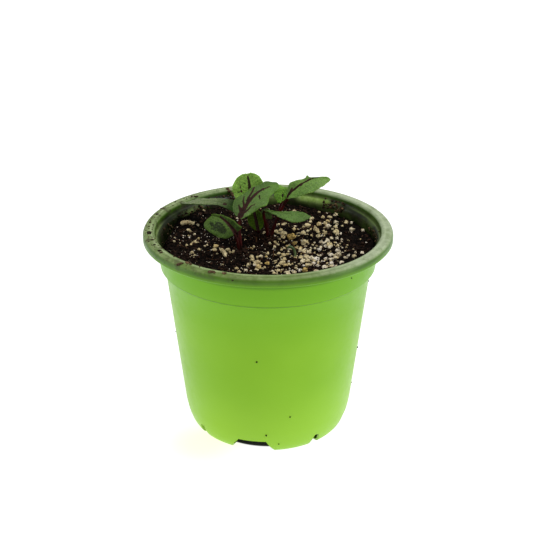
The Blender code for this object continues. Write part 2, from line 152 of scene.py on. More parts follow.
# The larger grains, each at its own place: x, y and width in millimetres
PALE_GRAINS = (
    (12.8, 38.7, 1.9), (21.1, 28.0, 2.3), (20.3, 24.8, 1.9), (26.5, 30.3, 2.1), (24.9, 37.3, 1.4),
    (28.7, 37.2, 1.4), (32.7, 33.7, 2.5), (29.9, 30.8, 2.3), (28.5, 26.6, 1.9), (24.2, 20.1, 2.5),
    (27.3, 21.1, 2.3), (28.4, 18.4, 2.8), (26.7, 18.0, 1.4), (32.4, 24.2, 2.3), (32.8, 21.7, 1.9),
    (37.2, 24.1, 2.3), (37.1, 22.7, 1.4), (39.9, 24.2, 1.9), (35.2, 19.5, 1.6), (31.9, 17.4, 2.3),
    (30.3, 15.2, 1.4), (39.6, 16.1, 3.0), (39.2, 13.7, 1.4), (44.7, 15.0, 1.9), (45.1, 0.5, 1.2),
    (16.8, 17.7, 1.4), (18.8, 14.1, 1.9), (12.2, 14.4, 2.1), (22.6, 15.5, 2.8), (22.2, 18.9, 1.4),
    (23.4, 11.9, 1.9), (23.2, 7.1, 2.3), (26.8, 10.6, 2.5), (25.4, 9.1, 1.4), (32.4, 9.0, 2.3),
    (33.9, 11.0, 1.6), (32.0, 6.2, 1.9), (29.3, 4.5, 1.9), (27.1, 1.0, 2.8), (25.8, -1.8, 2.1),
    (28.1, -6.9, 2.1), (25.9, -6.1, 1.6), (24.4, -0.3, 2.1), (23.8, -6.4, 2.1), (23.2, -9.4, 2.3),
    (16.5, -1.4, 3.2), (15.4, 1.9, 1.4), (18.1, -0.7, 1.9), (22.0, -4.3, 1.2), (17.0, -5.6, 1.4),
    (33.9, 1.6, 1.4), (31.6, -4.0, 1.9), (31.4, -9.2, 2.3), (31.3, -15.1, 3.2), (30.1, -17.0, 2.3),
    (39.4, -10.4, 1.4), (42.3, -11.8, 2.1), (38.4, -15.8, 2.3), (36.0, -14.7, 1.6), (34.5, -17.2, 2.1),
    (25.8, -17.6, 2.1), (28.0, -14.6, 2.3), (28.2, -18.7, 2.8), (27.4, -12.3, 1.6), (32.5, -22.2, 1.9),
    (28.2, -24.0, 2.8), (27.8, -26.5, 1.9), (21.7, -25.3, 2.3), (24.7, -27.6, 2.8), (20.1, -21.6, 1.9),
    (17.6, -24.8, 2.8), (21.0, -32.6, 2.8), (14.7, -8.3, 2.3), (12.9, -6.1, 2.1), (16.0, -11.1, 2.8),
    (18.2, -12.5, 2.5), (16.9, -17.6, 2.8), (19.3, -18.1, 2.8), (21.5, -19.1, 2.8), (20.4, -20.0, 1.9),
    (15.3, -21.3, 2.8), (17.5, -20.5, 2.3), (19.0, -9.4, 1.4), (9.2, -24.1, 2.3), (7.7, -25.7, 2.3),
    (6.2, -24.2, 2.8), (4.4, -26.1, 2.3), (5.8, -20.4, 2.5), (7.3, -19.3, 2.1), (3.5, -21.9, 1.9),
    (8.2, -35.5, 3.2), (11.3, -33.2, 2.3), (12.3, -26.7, 1.4), (12.2, -28.3, 1.4), (13.9, -30.7, 1.9),
    (2.6, -34.9, 1.9), (4.3, -32.4, 1.9), (3.9, -35.3, 1.4), (6.9, -14.8, 2.5), (4.7, -12.4, 2.3),
    (6.1, -9.9, 1.4), (-1.5, -27.3, 1.4), (6.1, 14.6, 2.1), (6.9, 6.0, 2.3), (3.0, 6.4, 1.4),
    (4.7, 9.8, 1.9), (4.7, 21.0, 2.1), (7.1, 20.7, 2.3), (8.3, 22.6, 1.4), (5.3, 2.7, 1.6),
    (7.3, -0.4, 1.6), (0.9, -1.8, 1.6), (3.4, -1.4, 1.6), (4.3, -2.8, 1.9), (3.0, -5.7, 1.9),
    (9.3, -3.9, 2.3), (-0.2, -13.7, 1.9), (-7.1, -16.3, 2.8), (-6.4, -4.3, 1.6), (-7.5, -7.7, 1.4),
    (-4.5, -17.4, 1.9), (-3.1, -18.4, 1.9), (-4.8, -23.5, 3.2), (-7.1, -20.2, 1.9), (-5.7, -24.5, 1.9),
    (-4.2, -27.3, 2.8), (-3.1, -24.2, 1.4), (-5.0, -29.8, 1.9), (-8.8, -24.8, 2.3), (-9.8, -30.9, 1.9),
    (-13.8, -27.6, 1.9), (-12.6, -33.4, 2.1), (-15.3, -10.7, 2.1), (-17.1, -10.2, 1.6), (-18.1, -8.8, 1.9),
    (-18.9, -11.1, 1.4), (-23.7, -4.6, 2.5), (-24.2, -9.3, 2.3), (-20.0, -24.1, 1.2), (-31.2, -8.6, 1.4),
    (-34.2, -11.6, 1.9), (-32.9, -14.2, 1.4), (-33.2, -0.2, 2.3), (-32.1, 4.7, 1.4), (-35.2, -2.6, 1.4),
    (-37.2, -3.5, 1.4), (-36.9, 6.8, 1.2), (-37.1, 11.5, 1.9), (-36.1, 10.5, 1.2), (-33.1, 18.9, 1.4),
    (-43.2, 4.5, 1.2), (-43.1, 0.0, 1.4), (-31.2, 34.3, 1.4), (-13.0, 7.8, 1.9), (-2.3, 10.0, 1.2),
    (15.6, -25.7, 1.4), (13.7, -23.8, 1.4), (8.7, -14.2, 1.4),
)
GOLDEN_GRAINS = (
    (15.9, -30.5, 2.8), (10.9, 5.7, 3.5), (12.1, -1.2, 2.3), (-0.4, -23.4, 2.1),
)
HOLLOW_GRAINS = (
    (18.7, 19.4, 2.8), (16.3, 10.2, 2.5), (31.8, 11.2, 2.8), (28.0, -4.5, 2.8), (14.5, -17.6, 2.3),
    (7.2, 9.0, 3.2), (3.5, 10.6, 2.3),
)
# Chips: places along each on the surface, and its width, in millimetres
CHIPS = (
    (((-41.3, 18.4), (-39.2, 18.8), (-37.0, 18.7), (-34.8, 18.9)), 2.1),
    (((-21.7, -9.4), (-20.4, -11.2), (-19.4, -14.0), (-18.9, -17.2)), 1.7),
)
# Twigs: places along each, with the height over the surface, and the width, in millimetres
TWIGS = (
    (((10.4, -2.2, 0.9), (11.9, -5.0, 1.2), (12.8, -8.6, 0.7)), 0.5),
    (((13.5, -11.6, 0.9), (15.2, -13.0, 1.3), (16.6, -15.6, 0.8)), 0.55),
    (((-10.4, -10.5, 0.5), (-8.7, -9.2, 1.1), (-7.0, -7.9, 0.9)), 0.4),
    (((2.5, -10.2, 0.8), (2.4, -13.0, 1.4), (2.3, -16.0, 0.7)), 0.3),
    (((-5.4, 2.6, 1.6), (-5.3, 1.2, 2.0), (-5.4, 0.1, 0.6)), 0.5),
)

# Root crowns, stalks and blades
CROWNS = {
    "left": (-12.3 * MM, -12.3 * MM),
    "middle": (-5.0 * MM, 6.8 * MM),
    "right": (0.3 * MM, 2.0 * MM),
}
CROWN_RADIUS = 2.3 * MM
CROWN_TOP = 1.6 * MM
CROWN_SINK = 0.9 * MM
BLADE_THICKNESS = 0.4 * MM
BLADE_ROWS = 100
BLADE_COLUMNS = 60
NARROWEST = 0.03
WIDTH_PLACES = (0, 0.03, 0.08, 0.16, 0.25, 0.35, 0.45, 0.55, 0.65, 0.75, 0.84, 0.92, 0.97, 1)
STALK_RADIUS = 0.62 * MM
STALK_SIDES = 16
RIB_TAPER = ((0.0, 1.0), (0.2, 0.75), (0.4, 0.62), (0.6, 0.5))

# One entry for each leaf, in millimetres, as in the frame. Spine: base, control point and tip of
# the midrib. Face: what the upper side looks towards, at the base and at the tip. Sides: left and
# right half, each with its greatest width, where that is, and how full it is towards base and tip.
# Green is the blade's colour, with painted shade and light in it: darker for young, tucked and
# rim_leaf, which lie in shade, and lighter for back_round, to make up for the little overhead light
# its upright face gets. Dust is how dusty it is at base and tip. Shades: how much darker each half
# is, as painted shade. Margins: pale edge, left and right, partly paler tissue and partly a painted
# highlight where the edge curls. Marks are dark red strokes and blots dark green ones: places along
# and across the blade, with a width at the start and at the end.
LEAVES = {
    "back_round": {
        "crown": "middle",
        "spine": ((-8.0, 9.5, 104.0), (-8.5, 13.0, 111.1), (-9.5, 13.8, 118.5)),
        "face": ((0.05, -0.95, 0.35), (0.0, -0.97, 0.25)),
        "widths": (
            (1.0, 1.8, 3.4, 5.7, 6.7, 7.2, 7.7, 7.8, 7.4, 6.6, 5.5, 4.3, 3.1, 1.8),
            (0.8, 1.2, 1.8, 3.0, 4.4, 5.4, 6.2, 6.6, 6.6, 6.1, 5.3, 4.1, 2.9, 1.6)),
        "slants": (0.1, 0.1),
        "folds": (6.0, 6.0),
        "bend": (-5.8, 8.4, 97.0),
        "waves": (3.0, 0.22),
        "green": (128, 177, 70),
        "dust": (0.1, 0.2),
        "margins": (0.3, 0.3),
        "marks": (
            (((13.7, 0.0), (11.9, 0.2), (10.2, 0.3), (8.2, 0.2)), 0.6, 1.05),
            (((9.6, -4.0), (8.9, -4.0)), 0.4, 0.35),
            (((7.6, -3.8), (7.0, -3.5)), 0.55, 0.45),
            (((11.1, -2.1), (10.4, -1.4)), 0.3, 0.2),
        ),
        "blots": ((((6.9, -5.4), (7.2, -3.8)), 0.4, 0.4),),
    },
    "centre": {
        "crown": "left",
        "spine": ((-13.2, -4.0, 103.5), (-6.3, 3.0, 116.3), (4.8, 9.0, 115.0)),
        "face": ((-0.45, -0.75, 0.5), (-0.25, -0.55, 0.8)),
        "widths": (
            (2.4, 4.4, 6.0, 6.3, 5.6, 4.8, 4.3, 3.9, 3.5, 3.1, 2.7, 2.3, 1.7, 0.6),
            (1.7, 2.7, 3.8, 5.0, 6.5, 8.1, 7.7, 6.2, 5.2, 4.4, 3.8, 3.0, 2.0, 0.6)),
        "slants": (0.3, 0.15),
        "shades": (0.35, 0.0),
        "folds": (10.0, 7.0),
        "bend": (-12.2, -10.4, 97.0),
        "waves": (3.5, 0.4),
        "green": (70, 111, 34),
        "dust": (0.45, 0.15),
        "margins": (0.35, 0.9),
        "marks": (
            (((1.3, 0.7), (2.9, 0.4), (6.1, -0.1), (8.9, -0.1), (11.8, -0.2)), 1.5, 0.95),
            (((11.8, -0.2), (14.2, -0.2), (16.6, -0.1), (18.4, 0.2), (20.4, 0.0)), 0.95, 0.35),
            (((1.3, 0.2), (2.9, -0.2), (4.9, -0.1)), 2.0, 1.4),
            (((7.7, -1.0), (9.6, -1.6), (12.0, -2.2), (14.2, -3.2)), 0.75, 0.45),
            (((3.0, -1.0), (3.8, -2.0), (4.7, -3.2)), 0.9, 0.3),
            (((4.7, -0.5), (6.9, -2.5), (8.7, -3.6)), 0.6, 0.25),
            (((3.4, 1.5), (4.8, 2.1), (6.5, 2.4), (7.9, 3.4)), 0.7, 0.3),
            (((12.7, 1.8), (11.5, 3.3)), 0.45, 0.4),
            (((11.9, 2.1), (12.1, 2.6)), 0.3, 0.25),
            (((16.6, 0.0), (16.1, 1.2)), 0.3, 0.2),
        ),
        "blots": (),
    },
    "arching": {
        "crown": "right",
        "spine": ((7.4, 13.4, 111.2), (7.5, 11.4, 116.2), (5.0, 8.0, 106.6)),
        "face": ((0.0, -0.1, 0.95), (0.1, -0.95, 0.3)),
        "sides": ((4.0, 0.6, 0.5, 0.6), (3.8, 0.6, 0.45, 0.45)),
        "folds": (6.0, 6.0),
        "bend": (5.2, 12.6, 99.0),
        "waves": (3.5, 0.25),
        "rib_points": 2,
        "green": (100, 148, 50),
        "dust": (0.2, 0.0),
        "margins": (0.3, 0.3),
        "marks": ((((5.9, -0.8), (6.1, -1.0)), 0.55, 0.5),),
        "blots": (),
    },
    "right": {
        "crown": "right",
        "spine": ((8.6, 5.6, 109.7), (17.1, 7.2, 121.0), (28.3, 10.0, 117.3)),
        "face": ((-0.3, -0.62, 0.7), (-0.1, -0.6, 0.8)),
        "widths": (
            (0.5, 1.2, 2.7, 3.7, 3.2, 2.5, 2.0, 1.4, 0.9, 0.8, 0.8, 0.7, 0.5, 0.2),
            (0.7, 1.6, 2.8, 4.2, 5.3, 6.2, 6.6, 6.5, 6.0, 5.1, 3.9, 2.6, 1.5, 0.2)),
        "slants": (0.3, 0.1),
        "shades": (0.2, 0.0),
        "folds": (30.0, 8.0),
        "bend": (4.0, 4.6, 101.0),
        "waves": (3.0, 0.3),
        "green": (100, 142, 58),
        "dust": (0.2, 0.3),
        "margins": (0.4, 0.3),
        "tooth": (0, 0.515, 0.025, 1.1),
        "marks": (
            (((0.4, -0.2), (1.2, -0.4), (2.7, -0.5)), 0.75, 0.8),
            (((2.7, -0.6), (3.4, -1.0), (4.1, -1.4)), 0.75, 0.35),
            (((2.7, -0.5), (4.3, -0.1), (6.0, -0.1), (7.6, 0.0)), 0.65, 0.7),
            (((7.4, 0.1), (8.0, 0.1)), 0.95, 0.85),
            (((7.7, 0.1), (8.9, -0.1), (10.3, 0.0)), 0.4, 0.45),
            (((10.3, 0.0), (11.3, -0.1), (12.6, -0.3)), 0.55, 0.45),
            (((12.6, -0.3), (13.9, -0.5)), 0.3, 0.2),
        ),
        "blots": ((((13.9, -0.5), (16.6, -0.5)), 0.5, 0.3),),
    },
    "low_right": {
        "crown": "right",
        "spine": ((-1.7, 3.0, 105.0), (9.1, 0.5, 104.1), (19.3, -1.0, 103.4)),
        "face": ((0.0, -0.4, 0.92), (0.05, -0.4, 0.92)),
        "widths": (
            (0.5, 0.5, 0.5, 0.4, 0.4, 0.7, 1.3, 1.8, 2.2, 2.3, 1.8, 1.0, 0.5, 0.2),
            (0.3, 0.4, 0.7, 1.4, 2.5, 3.4, 4.2, 4.7, 4.7, 4.1, 3.0, 1.8, 1.0, 0.2)),
        "slants": (0.3, 0.3),
        "teeth": 0.3,
        "folds": (4.0, 4.0),
        "bend": (-0.4, 3.0, 98.0),
        "waves": (4.5, 0.12),
        "green": (72, 109, 40),
        "dust": (0.2, 0.2),
        "margins": (0.3, 0.25),
        "marks": (),
        "blots": ((((9.1, 0.4), (12.7, -0.2)), 0.3, 0.2),),
    },
    "low_left": {
        "crown": "left",
        "spine": ((-14.8, -11.6, 99.3), (-17.8, -12.2, 107.2), (-25.1, -10.4, 107.4)),
        "face": ((0.3, -0.8, 0.5), (0.05, -0.8, 0.6)),
        "widths": (
            (0.6, 2.0, 3.9, 5.6, 7.0, 8.0, 8.45, 8.6, 8.25, 7.6, 6.9, 6.1, 5.2, 4.8),
            (2.6, 3.9, 3.6, 3.2, 2.9, 2.5, 2.2, 2.0, 1.6, 1.3, 1.2, 1.1, 0.8, 0.3)),
        "slants": (0.1, 0.2),
        "fan": 0.9,
        "shades": (0.15, 0.9),
        "folds": (14.0, 26.0),
        "bend": (-13.0, -11.8, 94.0),
        "waves": (3.0, 0.25),
        "green": (60, 90, 24),
        "dust": (0.05, 0.15),
        "margins": (0.5, 0.8),
        "marks": ((((0.0, 0.2), (0.7, 0.2), (2.6, 0.0), (4.9, -0.1), (7.2, 0.1), (9.5, 0.6)), 1.6, 0.5),),
        "blots": (
            (((12.5, -3.7), (11.1, -4.6)), 1.0, 1.0),
            (((10.5, -6.3), (8.4, -6.1)), 1.0, 1.0),
            (((9.5, -3.8), (8.0, -4.4)), 1.1, 1.1),
            (((10.1, -4.9), (9.2, -5.5)), 1.0, 1.0),
            (((7.2, -5.0), (4.2, -4.5)), 1.5, 1.5),
            (((6.8, -3.1), (5.4, -3.0)), 1.1, 1.1),
            (((10.0, -2.8), (7.1, -2.3)), 0.9, 0.9),
            (((11.6, -4.7), (7.8, -4.9)), 0.8, 0.8),
            (((8.6, -4.3), (3.9, -3.5)), 1.3, 1.3),
        ),
    },
    "young": {
        "crown": "middle",
        "spine": ((-4.4, 5.4, 93.5), (-5.3, 6.8, 98.4), (-6.3, 7.6, 104.2)),
        "face": ((0.0, -1.0, 0.15), (0.0, -1.0, 0.3)),
        "sides": ((4.1, 0.55, 0.6, 0.6), (3.4, 0.45, 0.6, 0.6)),
        "folds": (12.0, 12.0),
        "bend": (-4.2, 7.4, 92.4),
        "waves": (2.5, 0.15),
        "green": (66, 98, 12),
        "dust": (0.0, 0.0),
        "margins": (0.2, 0.5),
        "marks": ((((8.7, -0.4), (4.5, -0.2), (0.0, -0.1)), 0.9, 1.2),),
        "blots": (),
    },
    "tucked": {
        "crown": "right",
        "spine": ((-2.8, 9.8, 102.1), (-0.9, 9.4, 100.9), (1.5, 8.6, 98.6)),
        "face": ((0.0, -0.75, 0.7), (0.1, -0.85, 0.5)),
        "sides": ((2.4, 0.45, 0.7, 0.6), (2.4, 0.45, 0.7, 0.6)),
        "folds": (8.0, 8.0),
        "bend": (-0.2, 13.0, 97.5),
        "waves": (2.5, 0.15),
        "green": (52, 76, 26),
        "dust": (0.0, 0.0),
        "margins": (0.2, 0.2),
        "marks": (),
        "blots": (),
    },
    "rim_leaf": {
        "crown": "left",
        "spine": ((-14.0, 8.0, 103.6), (-24.3, 18.0, 105.7), (-40.6, 28.9, 98.4)),
        "face": ((0.1, -0.8, 0.5), (0.0, 0.2, 1.0)),
        "widths": (
            (2.5, 2.5, 2.4, 2.3, 2.1, 2.1, 2.5, 3.4, 4.4, 4.8, 4.4, 3.4, 2.4, 1.2),
            (2.1, 3.0, 3.1, 3.0, 2.8, 2.5, 2.3, 2.4, 2.7, 3.4, 4.0, 3.8, 2.8, 1.4)),
        "slants": (0.1, 0.1),
        "folds": (4.0, 4.0),
        "bend": (-13.6, -5.0, 98.0),
        "waves": (2.5, 0.2),
        "green": (34, 64, 10),
        "dust": (-0.35, 2.2),
        "margins": (0.2, 0.2),
        "marks": ((((9.3, -0.4), (8.2, -0.4)), 1.0, 0.7),),
        "blots": (),
    },
}

SPROUT_ROUTE = (
    (12.0, -17.4, 89.7), (12.0, -17.4, 92.1), (11.4, -16.9, 94.1), (9.7, -16.4, 95.0), (8.3, -16.0, 94.0))
SPROUT_RADII = (0.42, 0.5, 0.62, 0.7, 0.25)

# Light and camera
FLOOR_GLOW = 1.0
ROOM_LIGHT = 0.42
OVERHEAD_POWER = 3.6
LEFT_POWER = 1.0
RIGHT_POWER = 1.45
CAMERA_ELEVATION = 24.39
CAMERA_DISTANCE = 0.55
CAMERA_TARGET = (-0.0007, 0.0, 0.07796)
CAMERA_LENS = 80.22


# Shared helpers


def srgb(red, green, blue):
    """A colour from 0 to 255 as the eye sees it, in linear light with alpha."""
    def linear(value):
        value /= 255.0
        return value / 12.92 if value <= 0.04045 else ((value + 0.055) / 1.055) ** 2.4
    return (linear(red), linear(green), linear(blue), 1.0)


def add_piece(name, mesh, material, slot, *nodes):
    piece = bpy.data.objects.new(name, mesh)
    bpy.context.scene.collection.objects.link(piece)
    mesh.materials.clear()
    mesh.materials.append(material)
    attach(piece, "root")
    if nodes:
        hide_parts(*nodes)
    return piece


def mesh_from(name, form):
    mesh = bpy.data.meshes.new(name)
    form.to_mesh(mesh)
    form.free()
    return mesh


def smooth(mesh, degrees=180.0):
    for polygon in mesh.polygons:
        polygon.use_smooth = True
    if degrees < 180.0:
        mesh.set_sharp_from_angle(angle=math.radians(degrees))


def finished_mesh(item):
    """An object's mesh after its modifiers, with the object removed."""
    graph = bpy.context.evaluated_depsgraph_get()
    mesh = bpy.data.meshes.new_from_object(item.evaluated_get(graph))
    bpy.data.objects.remove(item, do_unlink=True)
    return mesh


def loose_object(name, data):
    item = bpy.data.objects.new(name, data)
    bpy.context.scene.collection.objects.link(item)
    return item


def point_attribute(mesh, name, values):
    layer = mesh.attributes.new(name, "FLOAT", "POINT")
    layer.data.foreach_set("value", values)


def soft_step(low, high, value):
    """0 below low, 1 above high, and a soft step between them."""
    share = min(max((value - low) / (high - low), 0.0), 1.0)
    return share * share * (3 - 2 * share)


def round_place(turn, radius, height):
    """A place from an angle in degrees, a distance from the pot's axis and a height."""
    angle = math.radians(turn)
    return Vector((radius * math.cos(angle), radius * math.sin(angle), height))


# Node materials


class Paint:
    """A material and the few node moves that the finishes share."""

    def __init__(self, name):
        self.material = bpy.data.materials.new(name)
        self.material.use_nodes = True
        self.tree = self.material.node_tree
        self.shader = self.tree.nodes["Principled BSDF"]

    def node(self, kind, **values):
        made = self.tree.nodes.new(kind)
        for key, value in values.items():
            setattr(made, key, value)
        return made

    def link(self, source, target):
        self.tree.links.new(source, target)

    def place(self):
        return self.node("ShaderNodeTexCoord").outputs["Object"]

    def stretched(self, place, scale):
        mapping = self.node("ShaderNodeMapping")
        mapping.inputs["Scale"].default_value = scale
        self.link(place, mapping.inputs["Vector"])
        return mapping.outputs["Vector"]

    def attribute(self, name):
        return self.node("ShaderNodeAttribute", attribute_name=name).outputs["Fac"]

    def height(self, place):
        split = self.node("ShaderNodeSeparateXYZ")
        self.link(place, split.inputs["Vector"])
        return split.outputs["Z"]

    def grain(self, place, scale, detail=4.0, roughness=0.6):
        texture = self.node("ShaderNodeTexNoise")
        texture.inputs["Scale"].default_value = scale
        texture.inputs["Detail"].default_value = detail
        texture.inputs["Roughness"].default_value = roughness
        self.link(place, texture.inputs["Vector"])
        return texture.outputs["Fac"]

    def rings(self, place, scale):
        """Fine lines round the pot's axis, as a mould or a wiping cloth leaves them."""
        length = self.node("ShaderNodeVectorMath", operation="LENGTH")
        self.link(self.stretched(place, (1.0, 1.0, 0.0)), length.inputs[0])
        texture = self.node("ShaderNodeTexNoise", noise_dimensions="1D")
        texture.inputs["Scale"].default_value = scale
        texture.inputs["Detail"].default_value = 3.0
        texture.inputs["Roughness"].default_value = 0.7
        self.link(self.math("ADD", length.outputs["Value"], self.height(place)), texture.inputs["W"])
        return texture.outputs["Fac"]

    def cells(self, place, scale, feature="F1"):
        texture = self.node("ShaderNodeTexVoronoi", feature=feature)
        texture.inputs["Scale"].default_value = scale
        self.link(place, texture.inputs["Vector"])
        return texture.outputs["Distance"]

    def spread(self, value, low, high, to_low=0.0, to_high=1.0):
        """A value between low and high becomes one between to_low and to_high, and stops there."""
        step = self.node("ShaderNodeMapRange", clamp=True, interpolation_type="SMOOTHSTEP")
        settings = (("From Min", low), ("From Max", high), ("To Min", to_low), ("To Max", to_high))
        for key, number in settings:
            step.inputs[key].default_value = number
        self.link(value, step.inputs["Value"])
        return step.outputs["Result"]

    def math(self, operation, first, second=None):
        made = self.node("ShaderNodeMath", operation=operation)
        for socket, value in zip(made.inputs, (first, second)):
            if value is None:
                continue
            if isinstance(value, (int, float)):
                socket.default_value = value
            else:
                self.link(value, socket)
        return made.outputs["Value"]

    def mix(self, share, first, second, kind="MIX"):
        made = self.node("ShaderNodeMix", data_type="RGBA", blend_type=kind, clamp_factor=True)
        colours = [socket for socket in made.inputs if socket.type == "RGBA"]
        for socket, value in ((made.inputs[0], share), (colours[0], first), (colours[1], second)):
            if isinstance(value, (int, float, tuple)):
                socket.default_value = value
            else:
                self.link(value, socket)
        return next(socket for socket in made.outputs if socket.type == "RGBA")

    def colour(self, value):
        self.link(value, self.shader.inputs["Base Color"])

    def roughness(self, value):
        if isinstance(value, (int, float)):
            self.shader.inputs["Roughness"].default_value = value
        else:
            self.link(value, self.shader.inputs["Roughness"])

    def bump(self, height, distance, strength=1.0):
        made = self.node("ShaderNodeBump")
        made.inputs["Distance"].default_value = distance
        made.inputs["Strength"].default_value = strength
        self.link(height, made.inputs["Height"])
        self.link(made.outputs["Normal"], self.shader.inputs["Normal"])


def pot_finish():
    """Lime plastic: an olive rim, dusty on top, a moist inside darkened with painted shade, a ledge lit
    by a painted highlight, painted shade and light on the body, painted shadows under the lip and at
    the step, stains and faint mould lines.
    """
    paint = Paint("lime_pot_plastic")
    place = paint.place()
    face = paint.attribute("face")
    top = paint.attribute("top")
    inside = paint.attribute("inside")
    lit_ledge = paint.attribute("lit_ledge")
    dirt = paint.attribute("dirt")
    cloudy = paint.grain(place, 22.0, 3.0, 0.5)
    dust = paint.grain(place, 240.0, 6.0, 0.7)
    smears = paint.grain(place, 70.0, 4.0, 0.6)
    rings = paint.rings(place, 750.0)
    body = paint.mix(paint.spread(cloudy, 0.3, 0.7), srgb(126, 180, 16), srgb(132, 186, 26))
    height = paint.height(place)
    # Painted shade and light: the body is darker and greener towards the collar and lighter towards the foot.
    body = paint.mix(paint.spread(height, 0.05, 0.09, 0.0, 0.85), body, srgb(104, 166, 4))
    body = paint.mix(paint.spread(height, 0.04, 0.005, 0.0, 0.8), body, srgb(152, 204, 50))
    # Painted shadow: the collar is darkened in a band just below the lip.
    lip_shadow = paint.spread(height, POT_HEIGHT - 9.0 * MM, POT_HEIGHT - 6.2 * MM, 0.0, 0.9)
    lip_shadow = paint.math("MULTIPLY", lip_shadow, paint.spread(height, LIP_BOTTOM - 0.1 * MM, LIP_BOTTOM - 0.5 * MM))
    body = paint.mix(lip_shadow, body, srgb(34, 84, 0))
    # Painted shadow along the step, at the front left.
    body = paint.mix(paint.attribute("step_shadow"), body, srgb(64, 116, 10))
    scuffs = paint.math("MULTIPLY", paint.spread(dust, 0.62, 0.75), paint.spread(smears, 0.5, 0.65))
    body = paint.mix(paint.math("MULTIPLY", scuffs, 0.25), body, srgb(156, 200, 84))
    olive = paint.mix(paint.spread(smears, 0.35, 0.65), srgb(62, 102, 12), srgb(76, 116, 24))
    dusty = paint.mix(paint.spread(dust, 0.35, 0.7), srgb(94, 118, 50), srgb(138, 156, 98))
    # The lighter ring streaks on the rim's top are partly real streaks and partly painted highlight lines.
    dusty = paint.mix(paint.spread(rings, 0.5, 0.62, 0.0, 0.65), dusty, srgb(172, 188, 140))
    dusty = paint.mix(paint.spread(rings, 0.47, 0.36, 0.0, 0.6), dusty, srgb(76, 100, 38))
    dusty = paint.mix(paint.spread(smears, 0.45, 0.7, 0.0, 0.5), dusty, srgb(104, 130, 58))
    # The rim's top is paler towards the right, and a little towards the back and the far left.
    pale_rim_side = paint.math("MULTIPLY", paint.attribute("pale_rim_side"), paint.spread(dust, 0.3, 0.6, 0.5, 1.0))
    dusty = paint.mix(pale_rim_side, dusty, srgb(186, 198, 168))
    # Painted shade: the inside wall and the underside near the floor take this dark green.
    shade = paint.mix(paint.spread(smears, 0.42, 0.66), srgb(22, 30, 8), srgb(64, 82, 34))
    base = paint.mix(face, body, olive)
    base = paint.mix(top, base, dusty)
    base = paint.mix(inside, base, shade)
    # Painted highlight: the ledge's lit colour, lighter than the plastic around it.
    ledge = paint.mix(paint.spread(dust, 0.35, 0.7), srgb(118, 148, 62), srgb(156, 182, 106))
    base = paint.mix(lit_ledge, base, ledge)
    specks = paint.spread(paint.cells(place, 560.0), 0.24, 0.14)
    patches = paint.spread(paint.grain(place, 150.0, 4.0, 0.6), 0.52, 0.62)
    soiled = paint.math("MULTIPLY", dirt, paint.math("MAXIMUM", specks, patches))
    base = paint.mix(soiled, base, srgb(60, 52, 36))
    paint.colour(base)
    rough = paint.math("ADD", paint.math("MULTIPLY", top, 0.16), paint.spread(dust, 0.3, 0.7, 0.3, 0.42))
    paint.roughness(paint.math("ADD", rough, paint.math("MULTIPLY", soiled, 0.35)))
    relief = paint.math("ADD", paint.math("MULTIPLY", rings, 0.35), paint.math("MULTIPLY", dust, 0.25))
    relief = paint.math("ADD", relief, paint.math("MULTIPLY", soiled, 1.2))
    paint.bump(relief, 0.05 * MM, 0.5)
    paint.shader.inputs["Specular IOR Level"].default_value = 0.25
    return paint.material


def mix_finish():
    """Moist dark peat: black in the hollows with painted shade, reddish brown on the crumbs."""
    paint = Paint("dark_potting_mix")
    place = paint.place()
    crumbs = paint.grain(place, 460.0, 6.0, 0.7)
    patches = paint.grain(place, 40.0, 3.0, 0.5)
    dark = paint.mix(paint.spread(crumbs, 0.4, 0.72), srgb(4, 2, 1), srgb(25, 15, 9))
    light = paint.mix(paint.spread(crumbs, 0.4, 0.72), srgb(10, 6, 3), srgb(58, 37, 25))
    # Painted shade: the lower a place lies, the nearer to black it is.
    high = paint.spread(paint.attribute("high"), 0.3, 0.85, 0.25, 1.0)
    base = paint.mix(paint.spread(patches, 0.42, 0.62), dark, light)
    paint.colour(paint.mix(high, srgb(4, 2, 1), base))
    paint.roughness(paint.spread(crumbs, 0.3, 0.8, 0.95, 0.6))
    grit = paint.math("ADD", crumbs, paint.math("MULTIPLY", paint.cells(place, 1000.0), 0.6))
    paint.bump(grit, 0.5 * MM, 0.8)
    paint.shader.inputs["Specular IOR Level"].default_value = 0.06
    return paint.material


def crumb_finish(name, dark, light):
    """Loose crumbs, each a little lighter or darker."""
    paint = Paint(name)
    place = paint.place()
    tone = paint.attribute("tone")
    fine = paint.grain(place, 900.0, 5.0, 0.7)
    deep = paint.mix(paint.spread(fine, 0.3, 0.7), srgb(9, 6, 4), srgb(*dark))
    pale = paint.mix(paint.spread(fine, 0.3, 0.7), srgb(*dark), srgb(*light))
    paint.colour(paint.mix(tone, deep, pale))
    paint.roughness(paint.spread(fine, 0.3, 0.7, 0.9, 0.65))
    paint.bump(fine, 0.3 * MM, 0.7)
    paint.shader.inputs["Specular IOR Level"].default_value = 0.08
    return paint.material


def grain_finish():
    """Pale expanded mineral grains, from white to golden tan, with pits darkened by painted shade."""
    paint = Paint("pale_mineral_grains")
    place = paint.place()
    tone = paint.attribute("tone")
    # Painted shade: small pits, which the bump also sinks, are darkened.
    pits = paint.spread(paint.cells(place, 950.0), 0.32, 0.14)
    cloudy = paint.grain(place, 420.0, 5.0, 0.65)
    pale = paint.mix(paint.spread(tone, 0.0, 0.5), srgb(240, 232, 216), srgb(218, 202, 156))
    pale = paint.mix(paint.spread(tone, 0.5, 1.0), pale, srgb(200, 168, 92))
    stained = paint.mix(paint.spread(cloudy, 0.45, 0.75, 0.0, 0.85), pale, srgb(142, 116, 70))
    base = paint.mix(paint.math("MULTIPLY", pits, 0.85), stained, srgb(40, 28, 14))
    paint.colour(base)
    paint.roughness(paint.spread(cloudy, 0.3, 0.7, 0.72, 0.9))
    paint.bump(paint.math("SUBTRACT", cloudy, pits), 0.35 * MM, 0.8)
    paint.shader.inputs["Specular IOR Level"].default_value = 0.2
    return paint.material


